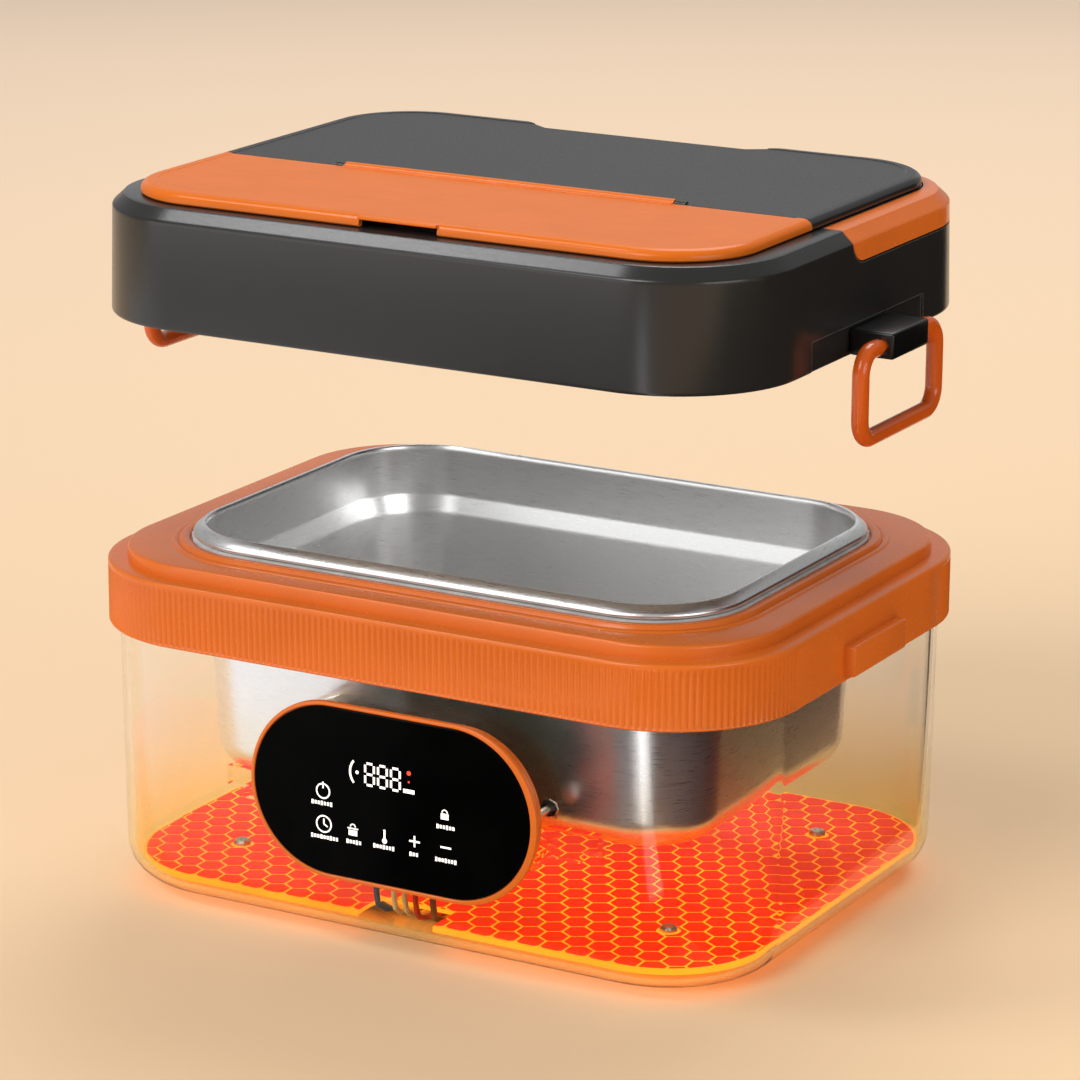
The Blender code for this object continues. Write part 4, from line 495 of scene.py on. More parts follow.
class Shade:
    """A node material on one Principled shader, with helpers that wire procedural detail into it."""

    def __init__(self, name, colour, roughness, metallic=0.0, specular=0.5):
        self.material = bpy.data.materials.new(name)
        self.material.use_nodes = True
        SHADES[name] = self.material
        self.tree = self.material.node_tree
        self.shader = self.tree.nodes["Principled BSDF"]
        self.colour = colour
        self.put("Base Color", colour)
        self.put("Roughness", roughness)
        self.put("Metallic", metallic)
        self.put("Specular IOR Level", specular)
        self.place = self.node("ShaderNodeTexCoord").outputs["Object"]

    def feed(self, socket, value):
        """Sets a socket to a value or a colour, or joins it to another node."""
        if isinstance(value, bpy.types.NodeSocket):
            self.tree.links.new(value, socket)
        else:
            socket.default_value = (*value, 1) if socket.type == "RGBA" else value

    def put(self, socket, value):
        self.feed(self.shader.inputs[socket], value)

    def node(self, kind, inputs=(), **settings):
        made = self.tree.nodes.new(kind)
        for key, value in settings.items():
            setattr(made, key, value)
        for socket, value in inputs:
            self.feed(made.inputs[socket], value)
        return made

    def noise(self, scale, detail, stretch=(1, 1, 1)):
        mapping = self.node("ShaderNodeMapping", [("Vector", self.place), ("Scale", stretch)])
        inputs = [("Vector", mapping.outputs["Vector"]), ("Scale", scale), ("Detail", detail)]
        return self.node("ShaderNodeTexNoise", inputs).outputs["Fac"]

    def span(self, source, low, high, start=NOISE_LOW, end=NOISE_HIGH):
        """A value moved to the range low to high."""
        inputs = [("Value", source), ("From Min", start), ("From Max", end), ("To Min", low),
                  ("To Max", high)]
        return self.node("ShaderNodeMapRange", inputs).outputs["Result"]

    def mix(self, factor, first, second):
        inputs = [("Factor", factor), ("A", first), ("B", second)]
        return self.node("ShaderNodeMix", inputs, data_type="RGBA").outputs["Result"]

    def drift(self, source, low, high):
        """The material's colour, dimmed and raised from place to place."""
        return self.mix(self.span(source, 0, 1), self.scaled(low), self.scaled(high))

    def dot(self, first, second):
        inputs = [(0, first), (1, second)]
        return self.node("ShaderNodeVectorMath", inputs, operation="DOT_PRODUCT").outputs["Value"]

    def edges(self, radius):
        """1 along edges and 0 elsewhere, from a rounded normal set against the true one."""
        bevel = self.node("ShaderNodeBevel", [("Radius", radius)], samples=BEVEL_SAMPLES)
        true = self.node("ShaderNodeNewGeometry")
        return self.span(self.dot(bevel.outputs["Normal"], true.outputs["Normal"]), 1, 0, start=0.8, end=0.99)

    def height(self, vector):
        return self.node("ShaderNodeSeparateXYZ", [("Vector", vector)]).outputs["Z"]

    def upward(self):
        """1 on faces that look up and 0 on the rest."""
        normal = self.node("ShaderNodeNewGeometry").outputs["Normal"]
        return self.span(self.height(normal), 0, 1, start=0.9, end=0.985)

    def times(self, first, second):
        return self.node("ShaderNodeMath", [(0, first), (1, second)], operation="MULTIPLY").outputs[0]

    def bump(self, source, height, strength=1.0):
        inputs = [("Height", source), ("Distance", height), ("Strength", strength)]
        self.put("Normal", self.node("ShaderNodeBump", inputs).outputs["Normal"])

    def by_ray(self, factor, first, second):
        """Ends the material in one shader or the other, by the kind of ray that meets it."""
        inputs = [("Fac", factor), (1, first.outputs["BSDF"]), (2, second.outputs["BSDF"])]
        choice = self.node("ShaderNodeMixShader", inputs)
        self.feed(self.tree.nodes["Material Output"].inputs["Surface"], choice.outputs["Shader"])

    def scaled(self, factor):
        return tuple(min(1.0, value * factor) for value in self.colour)


def plastic(name, colour, roughness, grain=2600, grain_height=0.000002, mottle=0.04, wear_and_highlight=0.25,
            stretch=(1, 1, 1), specular=0.5, wear_highlight_lift=0.03, top_only=False):
    """Moulded plastic: fine spark grain, slow colour drift, and paler edges that mix rubbing with a painted
    highlight.
    """
    shade = Shade(name, colour, roughness, specular=specular)
    base = shade.drift(shade.noise(scale=38, detail=3), low=1 - mottle, high=1 + mottle)
    scuff = shade.noise(scale=1100, detail=4, stretch=stretch)
    # Paler edges, partly rubbing and partly a painted highlight that stands in for light caught along edges
    # and bevels
    rubbed_and_lit_edges = shade.times(shade.edges(radius=0.0006), shade.span(scuff, low=0.2, high=wear_and_highlight * 2))
    pale_rub_and_highlight = tuple(min(1.0, value * EDGE_PALE_RUB_AND_HIGHLIGHT + wear_highlight_lift) for value in colour)
    shade.put("Base Color", shade.mix(rubbed_and_lit_edges, base, pale_rub_and_highlight))
    rough = shade.span(scuff, low=roughness - 0.03, high=roughness + 0.04)
    relief = shade.noise(scale=grain, detail=2, stretch=stretch)
    if top_only:
        relief = shade.times(relief, shade.upward())
        rough = shade.times(rough, shade.span(shade.upward(), SIDE_GLOSS, 1, 0, 1))
    shade.put("Roughness", rough)
    shade.bump(relief, grain_height)


def steel(name, colour, roughness, stretch=(1, 1, 30), scale=180):
    """Pressed stainless steel with drawn brushing and faint handling marks."""
    shade = Shade(name, colour, roughness, metallic=1.0)
    brushed = shade.noise(scale, detail=4, stretch=stretch)
    tone = shade.drift(brushed, low=0.95, high=1.05)
    cloud = shade.span(shade.noise(scale=30, detail=3), low=0.0, high=0.2)
    shade.put("Base Color", shade.mix(cloud, tone, shade.scaled(0.93)))
    shade.put("Roughness", shade.span(brushed, low=roughness - 0.03, high=roughness + 0.05))
    shade.bump(brushed, height=0.000002, strength=0.4)


def rubber(name, colour):
    """Soft matt rubber or lead insulation with a little dust."""
    shade = Shade(name, colour, 0.7)
    dust = shade.noise(scale=160, detail=5)
    shade.put("Base Color", shade.drift(dust, low=0.85, high=1.15))
    shade.put("Roughness", shade.span(dust, low=0.62, high=0.8))
    shade.bump(shade.noise(scale=3000, detail=3), height=0.00002)


def clear_plastic(name, colour, bend, painted_glow_low=False):
    """Clear moulded plastic that lets lamps through, with faint haze and handling marks."""
    shade = Shade(name, colour, 0.03)
    shade.put("Transmission Weight", 1.0)
    shade.put("IOR", bend)
    marks = shade.noise(scale=70, detail=6)
    shade.put("Roughness", shade.span(marks, low=0.01, high=0.04, start=0.45, end=0.75))
    shade.bump(shade.noise(scale=18, detail=2), height=0.00001, strength=0.3)
    # Painted glow: below these heights the tub is tinted amber, standing in for the light of the hot plate
    if painted_glow_low:
        rise = shade.span(shade.height(shade.place), 0, 1, *PAINTED_GLOW_HEIGHTS)
        shade.put("Base Color", shade.mix(rise, PAINTED_GLOW_TINT, colour))
    open_way = shade.node("ShaderNodeBsdfTransparent", [("Color", CLEAR_SHADOW)])
    rays = shade.node("ShaderNodeLightPath")
    shade.by_ray(rays.outputs["Is Shadow Ray"], shade.shader, open_way)


def glowing(name, colour, light, strength, roughness=0.45, drift=0.25):
    """A surface with its own colour and a light of its own that varies from place to place: a painted glow on
    the hot enamelled plate and its lines, the backlight on the panel marks.
    """
    shade = Shade(name, colour, roughness)
    cloud = shade.noise(scale=26, detail=4)
    shade.put("Base Color", shade.drift(cloud, low=0.8, high=1.1))
    dim = tuple(value * (1 - drift) for value in light)
    shade.put("Emission Color", shade.mix(shade.span(cloud, 0, 1), dim, light))
    shade.put("Emission Strength", strength)
    shade.bump(shade.noise(scale=1800, detail=3), height=0.00001)


def panel_glass_shade():
    """Black glass that hardly mirrors, with faint smears."""
    shade = Shade("black_glass", GLASS_BLACK, 0.16, specular=0.02)
    smear = shade.noise(scale=45, detail=5)
    shade.put("Base Color", shade.mix(shade.span(smear, 0, 1), GLASS_LOW, GLASS_SMEAR))
    shade.put("Roughness", shade.span(smear, low=0.12, high=0.2))
    shade.bump(shade.noise(scale=30, detail=2), height=0.00001)


# Each material slot, and the further shades of the visible pieces
clear_plastic("clear_plastic", (0.99, 0.99, 0.99), bend=1.3, painted_glow_low=True)
plastic("orange_plastic", ORANGE, 0.24, specular=0.34, wear_and_highlight=0.12)
plastic("orange_bail", ORANGE_BAIL, 0.2, grain=900, wear_and_highlight=0.05)
plastic("orange_texture", ORANGE_TOP, 0.4, grain=1100, grain_height=0.00005, wear_highlight_lift=0.1,
        stretch=(0.05, 1, 1), specular=0.22, wear_and_highlight=0.6, top_only=True)
plastic("dark_plastic", DARK, 0.23, wear_and_highlight=0.9, wear_highlight_lift=0.14)
plastic("dark_texture", DARK_TOP, 0.42, grain=4200, grain_height=0.000008, wear_highlight_lift=0.1,
        mottle=0.03, specular=0.32, wear_and_highlight=0.7, top_only=True)
plastic("black_plastic", (0.005, 0.005, 0.005), 0.3, wear_and_highlight=0.6, wear_highlight_lift=0.1)
clear_plastic("amber_plastic", (1.0, 0.93, 0.82), bend=1.03)
plastic("liner_plastic", (0.3, 0.3, 0.3), 0.45)
steel("stainless_steel", (0.9, 0.9, 0.895), 0.29)
rubber("silicone", (0.55, 0.55, 0.53))
rubber("foot_rubber", (0.1, 0.1, 0.1))
# Painted glow: the heater plate's enamel and the lines between its pads give light of their own, though the
# plate is no lamp
glowing("plate_enamel", (0.4, 0.008, 0.001), (1.0, 0.02, 0.0), 0.8)
glowing("hex_lines", (0.55, 0.1, 0.002), (1.0, 0.34, 0.015), 1.5, drift=0.4)
steel("aluminium", (0.75, 0.75, 0.75), 0.35, stretch=(30, 1, 1))
steel("element_metal", (0.5, 0.5, 0.48), 0.4, stretch=(8, 8, 1))
plastic("ceramic", (0.8, 0.78, 0.7), 0.35)
panel_glass_shade()
glowing("symbol_light", (0.85, 0.84, 0.8), (1.0, 0.95, 0.86), 0.9, drift=0.08)
glowing("symbol_red", (0.8, 0.05, 0.02), (1.0, 0.05, 0.02), 0.9, drift=0.08)
plastic("circuit_board", (0.02, 0.18, 0.06), 0.4, grain=900)
steel("steel_fasteners", (0.6, 0.6, 0.6), 0.28, stretch=(1, 1, 1), scale=600)
steel("brass", (0.72, 0.55, 0.28), 0.28, stretch=(1, 1, 1), scale=600)
rubber("lead_red", (0.42, 0.03, 0.01))
rubber("lead_white", (0.6, 0.5, 0.38))
rubber("lead_brown", (0.14, 0.05, 0.02))
rubber("lead_blue", (0.03, 0.06, 0.18))

SLOT_OF = {part["node"]: part["material_slot"] for part in frame["record"]["subparts"]}


def place(obj, shade, body, slot, *nodes):
    """Gives a piece its finish and its body, and hides the nodes that it stands for. The slot argument is not
    used.
    """
    obj.data.materials.clear()
    obj.data.materials.append(SHADES[shade])
    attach(obj, body)
    if nodes:
        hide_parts(*nodes)
    return obj


# Base

def bottom_arc(inset, z, radius):
    """The rounded lower corner of a wall, from its straight part down to the floor."""
    return arc_points((inset + radius, z + radius), radius, 180, 270, BEND_STEPS)


def cut_tub_openings(tub):
    """The panel window in front and the inlet hole in the rear."""
    inset = BEZEL_SLEEVE_IN - FIT_GAP
    shaped(tub, loft("window", [panel_ring(inset, -SHELL_HIGH.y + shift) for shift in (-OVER, OVER)]))
    inlet_z = (INLET_LOW.z + INLET_HIGH.z) / 2
    hole_x = INLET_HIGH.x - INLET_FLANGE + FIT_GAP
    hole_z = INLET_HIGH.z - inlet_z - INLET_FLANGE + FIT_GAP
    shaped(tub, beam("inlet_hole", hole_x, (SHELL_HIGH.y - OVER, SHELL_HIGH.y + OVER),
                     (inlet_z - hole_z, inlet_z + hole_z)))


def make_tub():
    """The clear tub with its openings, screw bosses and foot recesses."""
    outer = [(TUB_EASE, SHELL_HIGH.z), (0, SHELL_HIGH.z - TUB_EASE)]
    outer += bottom_arc(SHELL_DRAFT, SHELL_LOW.z, SHELL_FOOT_RADIUS)
    inner = bottom_arc(SHELL_DRAFT + SHELL_WALL, SHELL_FLOOR_Z, SHELL_FOOT_RADIUS - SHELL_WALL)[::-1]
    inner += [(SHELL_WALL, SHELL_HIGH.z - TUB_EASE), (SHELL_WALL - TUB_EASE, SHELL_HIGH.z)]
    rings = inset_rings(SHELL_HIGH.x, SHELL_HIGH.y, SHELL_CORNER, outer + inner)
    split = len(outer)
    tub = loft("tub", rings[:split][::-1] + rings[split:][::-1])
    cut_tub_openings(tub)
    boss_top = PLATE_LOW.z - FIT_GAP
    for index in CORNER_NUMBERS:
        at = flat_middle(f"plate_screw_{index}")
        shaped(tub, rod("boss", BOSS_RADIUS, SHELL_FLOOR_Z - BOSS_ROOT, boss_top, at), "UNION")
        shaped(tub, rod("boss_bore", SCREW_BORE, SHELL_FLOOR_Z + BOSS_FLOOR, boss_top + OVERLAP, at))
        at = flat_middle(f"foot_{index}")
        shaped(tub, rod("recess", FOOT_RADIUS + FIT_GAP, -OVER, SHELL_LOW.z + FOOT_RECESS, at))
    place(tub, "clear_plastic", "base", "clear_plastic", "clear_shell")


def collar_rings(size, profile):
    return inset_rings(*size, profile, COLLAR_STEPS, COLLAR_STRAIGHT)


def rib(points):
    """Draws a skirt ring in between the crests of its ribs, on the front, rear and corners."""
    hub_x = COLLAR_HALF_X - COLLAR_CORNER
    hub_y = COLLAR_HIGH.y - COLLAR_CORNER
    out = []
    index = 0
    for side in range(4):
        for step in range(COLLAR_STEPS + COLLAR_STRAIGHT[side % 2]):
            x, y, z = points[index]
            ribbed = step <= COLLAR_STEPS or side % 2 == 0
            depth = RIB_DEPTH * RIB_WAVE[step % POINTS_PER_RIB] if ribbed else 0.0
            away = Vector((x - max(-hub_x, min(hub_x, x)), y - max(-hub_y, min(hub_y, y))))
            away.normalize()
            out.append((x - away.x * depth, y - away.y * depth, z))
            index += 1
    return out


def skirt_rings():
    """The ribbed skirt from its lower end up to the ledge."""
    ledge = COLLAR_LEDGE_Z
    profile = raised(SKIRT_FOOT, COLLAR_LOW.z) + raised(SKIRT_TOP, ledge)
    profile += arc_points((SKIRT_ROUND, ledge - SKIRT_ROUND), SKIRT_ROUND, 180, 90, EDGE_STEPS)
    rings = collar_rings(COLLAR_SIZE, profile)
    for index in RIBBED_RINGS:
        rings[index] = rib(rings[index])
    return rings


def deck_rings():
    """The wall above the ledge and the rounded outer edge of the deck."""
    deck_in = LID_WALL + RUN_GAP
    inset, height = DECK_EDGE
    edge_z = DECK_Z + height
    profile = raised(DECK_WALL, COLLAR_LEDGE_Z) + [(inset, edge_z)]
    profile += arc_points((inset + SKIRT_ROUND, edge_z), SKIRT_ROUND, 180, 90, EDGE_STEPS)
    return collar_rings([length - deck_in for length in (LID_HIGH.x, LID_HIGH.y, LID_CORNER)], profile)


def seat_rings():
    """The ridges of the deck and the ledge that the pan's seal lies on."""
    seat = SEAT_WIDTH + PAN_CLEARANCE
    profile = raised(DECK_RIDGE, DECK_Z) + raised(SEAT_RIDGE_OUT, RIDGE_Z)
    profile += raised(SEAT_RIDGE_IN, RIDGE_Z, seat)
    profile += [(seat, SEAT_Z), (PAN_CLEARANCE, SEAT_Z), (PAN_CLEARANCE, SEAT_Z - COLLAR_ROOF)]
    inward = [(PAN_LIP - outward, z) for outward, z in profile]
    return collar_rings((PAN_HIGH.x, PAN_HIGH.y, PAN_CORNER), inward)


def make_collar():
    """The orange ring with its ribbed skirt, stepped deck and side lugs."""
    roof_z = SHELL_HIGH.z + FIT_GAP
    under = COLLAR_WALL + SHELL_WALL + COLLAR_UNDERCUT
    below = ((under, SEAT_Z - COLLAR_ROOF), (under, roof_z), (COLLAR_WALL, roof_z))
    rings = skirt_rings() + deck_rings() + seat_rings() + collar_rings(COLLAR_SIZE, below)
    collar = loft("collar_ring", rings, closed=True, smooth=COLLAR_SMOOTH)
    lug_top = COLLAR_LEDGE_Z - LUG_TOP_DROP
    for side in SIDES:
        xs = side_range(side, COLLAR_HALF_X - COLLAR_WALL / 2, COLLAR_HIGH.x)
        shaped(collar, block("lug", (xs[0], -LUG_LENGTH / 2, lug_top - LUG_HEIGHT),
                             (xs[1], LUG_LENGTH / 2, lug_top), LUG_EDGE), "UNION")
    place(collar, "orange_plastic", "base", "orange_plastic", "collar")


def make_pan():
    """The pressed pan with its rolled rim, stepped wall and rounded bottom."""
    step_top = PAN_HIGH.z - PAN_STEP_DROP
    step_low = step_top - PAN_STEP_FALL
    low_in = PAN_LIP + PAN_STEP_IN
    foot_in = low_in + PAN_TAPER
    sheet = PAN_SHEET
    wall = raised(PAN_STEP_HEAD, step_top) + raised(PAN_STEP_FOOT, step_low, low_in)
    outer = raised(PAN_RIM_TOP, PAN_HIGH.z) + raised(PAN_RIM_LOW, PAN_LIP_Z) + wall
    outer += bottom_arc(foot_in, PAN_LOW.z, PAN_FOOT_RADIUS)
    inner = bottom_arc(foot_in + sheet, PAN_LOW.z + sheet, PAN_FOOT_RADIUS - sheet)[::-1]
    inner += raised(wall[::-1], PAN_STEP_LIFT, sheet) + raised(PAN_MOUTH, PAN_HIGH.z, PAN_LIP + sheet)
    rings = inset_rings(PAN_HIGH.x, PAN_HIGH.y, PAN_CORNER, outer + inner)
    split = len(outer)
    pan = loft("food_pan", rings[split:] + rings[:split])
    place(pan, "stainless_steel", "pan", "stainless_steel", "steel_pan")


def hexagon_pads(half_x, half_y):
    """A field of six-sided blocks with gaps for the lines between them."""
    pads = bmesh.new()
    reach = (HEX_PITCH - HEX_LINE) / math.sqrt(3)
    row_pitch = HEX_PITCH * math.sqrt(3) / 2
    rows = int(half_y / row_pitch) + 1
    columns = int(half_x / HEX_PITCH) + 1
    for row in range(-rows, rows + 1):
        for column in range(-columns, columns + 1):
            x = (column + (0.5 if row % 2 else 0.0)) * HEX_PITCH
            y = row * row_pitch
            outline = [(x + reach * math.cos(angle), y + reach * math.sin(angle)) for angle in HEX_ANGLES]
            lower = [pads.verts.new((u, v, PLATE_HIGH.z - PAD_OVER)) for u, v in outline]
            upper = [pads.verts.new((u, v, PLATE_HIGH.z + HEX_HEIGHT + PAD_OVER)) for u, v in outline]
            pads.faces.new(lower[::-1])
            pads.faces.new(upper)
            for i in range(len(outline)):
                pads.faces.new((lower[i - 1], lower[i], upper[i], upper[i - 1]))
    return mesh_object("hexagons", pads, 0)


def make_plate():
    """The heater plate with raised honeycomb pads and lines between them; pads and lines give off a painted
    glow, the lines the brighter one.
    """
    half_x = PLATE_HIGH.x
    half_y = PLATE_HIGH.y
    radius = SHELL_CORNER - (SHELL_HIGH.x - half_x)
    plate = slab("hot_plate", half_x, (-half_y, half_y), radius, PLATE_LOW.z, PLATE_HIGH.z)
    pad_y = half_y - PAD_MARGIN
    field = slab("pad_field", half_x - PAD_MARGIN, (-pad_y, pad_y), radius - PAD_MARGIN,
                 PLATE_HIGH.z - PAD_SINK, PLATE_HIGH.z + HEX_HEIGHT)
    shaped(field, hexagon_pads(half_x, half_y), "INTERSECT")
    field.name = "honeycomb"
    for side, depth in PLATE_NOTCHES:
        ys = side_range(side, half_y - depth, half_y + PLATE_NOTCH_REACH)
        for piece in (plate, field):
            shaped(piece, beam("notch", PLATE_NOTCH_HALF, ys, (PLATE_LOW.z - OVER, PLATE_HIGH.z + OVER)))
    for index in CORNER_NUMBERS:
        at = flat_middle(f"plate_screw_{index}")
        shaped(plate, rod("hole", SCREW_BORE, 0, PLATE_HIGH.z + OVER, at))
        shaped(field, rod("clearing", PAD_CLEARING, 0, PLATE_HIGH.z + OVER, at))
    place(plate, "hex_lines", "base", "plate_enamel", "heater_plate")
    place(field, "plate_enamel", "base", "plate_enamel")


# Panel

def make_bezel(pocket, middle, pocket_y):
    """The orange ring with the glass's pocket, its sleeve and two screw bosses."""
    front = PANEL_FRONT_Y
    inner = BEZEL_SLEEVE_IN + BEZEL_SLEEVE_WALL
    rings = [panel_ring(0, PANEL_BACK_Y)]
    rings += [panel_ring(inset, front + depth) for inset, depth in BEZEL_EDGE]
    rings += [panel_ring(-outset, front + depth, pocket, middle) for outset, depth in POCKET_EDGE]
    rings.append(panel_ring(0, pocket_y, pocket, middle))
    rings += [panel_ring(inner, pocket_y), panel_ring(inner, BEZEL_HIGH.y),
              panel_ring(BEZEL_SLEEVE_IN, BEZEL_HIGH.y), panel_ring(BEZEL_SLEEVE_IN, PANEL_BACK_Y)]
    bezel = loft("bezel_ring", rings, closed=True)
    for screw in ("panel_screw_left", "panel_screw_right"):
        at = (flat_middle(screw)[0], 0, PANEL_Z)
        boss = (pocket_y + PANEL_BOSS_START, BEZEL_HIGH.y - PANEL_BOSS_END)
        shaped(bezel, rod("boss", PANEL_BOSS_RADIUS, *boss, at, "y"), "UNION")
        shaped(bezel, rod("bore", SCREW_BORE, pocket_y + PANEL_BORE_START, BEZEL_HIGH.y + OVER, at, "y"))
    place(bezel, "orange_plastic", "base", "orange_plastic", "control_bezel")


def make_panel():
    """The bezel and the black glass in its pocket, which lies a little to the left."""
    front = PANEL_FRONT_Y
    pocket = (PANEL_HALF_X - BEZEL_RING - GLASS_SHIFT, PANEL_HALF_Z - BEZEL_RING)
    middle = (PANEL_X - GLASS_SHIFT, PANEL_Z)
    make_bezel(pocket, middle, front + GLASS_THICKNESS + FIT_GAP)
    glass = loft("panel_glass", [panel_ring(FIT_GAP, front + GLASS_THICKNESS, pocket, middle),
                                 panel_ring(FIT_GAP, front + GLASS_EDGE, pocket, middle),
                                 panel_ring(FIT_GAP + GLASS_EDGE, front, pocket, middle)])
    place(glass, "black_glass", "base", "black_glass", "touch_glass")


class Symbols:
    """Thin plates on the panel glass, drawn in millimetres about the panel's middle."""

    def __init__(self, name):
        self.name = name
        self.bm = bmesh.new()

    def plate(self, points):
        rings = []
        for y in (PANEL_FRONT_Y - SYMBOL_HEIGHT, PANEL_FRONT_Y + SYMBOL_HEIGHT / 2):
            rings.append([self.bm.verts.new((PANEL_X + u / MM_PER_M, y, PANEL_Z + v / MM_PER_M))
                          for u, v in points])
        near, far = rings
        count = len(near)
        self.bm.faces.new(near)
        self.bm.faces.new(far[::-1])
        for i in range(count):
            self.bm.faces.new((near[i], far[i], far[(i + 1) % count], near[(i + 1) % count]))

    def bar(self, u, v, width, height):
        self.stroke((u - width / 2, v), (u + width / 2, v), height)

    def arc(self, u, v, radius, line, start, end, steps=20):
        """A band of an arc in degrees. A full turn is drawn as two halves."""
        if end - start >= 2 * HALF_TURN:
            self.arc(u, v, radius, line, start, start + HALF_TURN, steps)
            self.arc(u, v, radius, line, start + HALF_TURN, end, steps)
            return
        outer = arc_points((u, v), radius + line / 2, start, end, steps)
        inner = arc_points((u, v), radius - line / 2, end, start, steps)
        self.plate(outer + inner)

    def disc(self, u, v, radius):
        self.plate(arc_points((u, v), radius, 0, DISC_END, DISC_STEPS))

    def stroke(self, start, end, line):
        """A straight line between two points."""
        a = Vector(start)
        b = Vector(end)
        across = (b - a).orthogonal().normalized() * line / 2
        self.plate([tuple(a + across), tuple(b + across), tuple(b - across), tuple(a - across)])

    def digit(self, u, v, width, height, line):
        """An eight in seven bars."""
        gap = line * DIGIT_GAP
        half = height / 2
        for level in (-half, 0, half):
            self.bar(u, v + level, width - line - 2 * gap, line)
        for side in SIDES:
            for level in (-half / 2, half / 2):
                self.bar(u + side * width / 2, v + level, line, half - line - 2 * gap)

    def caption(self, u, v, width):
        """A row of small plain blocks that stands for the words under an icon."""
        count = round(width / CAPTION_PITCH)
        for index in range(count):
            height = CAPTION_HEIGHT if index % 3 else CAPTION_HEIGHT * CAPTION_TALL
            self.bar(u + (index - (count - 1) / 2) * CAPTION_PITCH, v, CAPTION_PITCH * CAPTION_FILL, height)

    def finish(self, shade):
        place(mesh_object(self.name, self.bm, 0), shade, "base", "black_glass")


def make_symbols():
    """The lit digits and icons, each icon's caption blocks, and the red signal dots."""
    lit = Symbols("panel_symbols")
    for index in range(DIGIT_COUNT):
        lit.digit(DIGIT_U + index * DIGIT_PITCH, *DIGIT_SIZE)
    for tip in CLOCK_TIPS:
        lit.stroke(CLOCK, tip, ICON_LINE)
    for draw, marks in ((lit.bar, BARS), (lit.arc, ARCS), (lit.disc, DISCS), (lit.caption, CAPTIONS)):
        for mark in marks:
            draw(*mark)
    lit.finish("symbol_light")
    red = Symbols("panel_signal")
    for mark in RED_DISCS:
        red.disc(*mark)
    red.finish("symbol_red")


# Lid

def lid_rings(low_z, with_base):
    """The lid's outer form from a height up to the ledge round the raised top."""
    share = (low_z - LID_Z) / (LID_SHOULDER_Z - LID_Z)
    profile = raised(LID_FOOT, LID_Z) if with_base else [(LID_SHOULDER_IN * share, low_z)]
    profile += raised(LID_SHOULDER, LID_SHOULDER_Z, LID_SHOULDER_IN)
    profile += raised(LID_LEDGE, LEDGE_Z, LID_SHOULDER_IN + LID_CHAMFER)
    return inset_rings(LID_HIGH.x, LID_HIGH.y, LID_CORNER, profile)


def top_outline(inset):
    return rounded((-TOP_HALF_X + inset, TOP_HALF_X - inset), (TOP_FRONT_Y + inset, TOP_BACK_Y - inset),
                   TOP_CORNER - inset)


def handle_region(name, clearance, end_radius, low):
    """The U-shaped space of the handle: outside the raised top, from the pivots to the rear."""
    inner = top_outline(-clearance)
    count = CORNER_STEPS + 1
    far_x = LID_HIGH.x + OVER
    far_y = LID_HIGH.y + OVER
    right_x = TOP_HALF_X + clearance
    front_y = HANDLE_PIVOT[1]
    outline = [(right_x, front_y)] + inner[:2 * count]
    outline += [(-right_x, front_y), (-far_x, front_y), (-far_x, far_y), (far_x, far_y), (far_x, front_y)]
    region = prism(name, outline, low, LEDGE_Z + OVER)
    for side in SIDES:
        ends = side_range(side, right_x, far_x)
        shaped(region, rod("end", end_radius, *ends, (0, front_y, HANDLE_PIVOT[2]), "x"), "UNION")
    return region


def notch_outline():
    far_y = TOP_BACK_Y + OVER / 2
    deep = TOP_BACK_Y - NOTCH_DEPTH
    half_far = NOTCH_HALF_X + (far_y - deep) * NOTCH_SLANT / NOTCH_DEPTH
    return [(-half_far, far_y), (-NOTCH_HALF_X, deep), (NOTCH_HALF_X, deep), (half_far, far_y)]


def hollow_lid(shell):
    """The space over the collar, the space in the raised top and the opening of the cutlery well."""
    inner_y = LID_HIGH.y - LID_WALL
    shaped(shell, slab("cavity", LID_HIGH.x - LID_WALL, (-inner_y, inner_y), LID_CORNER - LID_WALL,
                       LID_Z - OVER, LID_RIM_Z))
    roof = LEDGE_Z - LID_WALL
    upper_y = (TOP_FRONT_Y + UPPER_WALL, TOP_BACK_Y - NOTCH_DEPTH - UPPER_WALL)
    shaped(shell, slab("cavity", TOP_HALF_X - UPPER_WALL, upper_y, UPPER_CORNER, LID_RIM_Z - OVERLAP, roof))
    edge = WELL_FLANGE - FIT_GAP
    shaped(shell, slab("cavity", WELL_HIGH.x - edge, (WELL_LOW.y + edge, WELL_HIGH.y - edge),
                       WELL_CORNER + FIT_GAP, roof - OVER, LEDGE_Z + OVER))


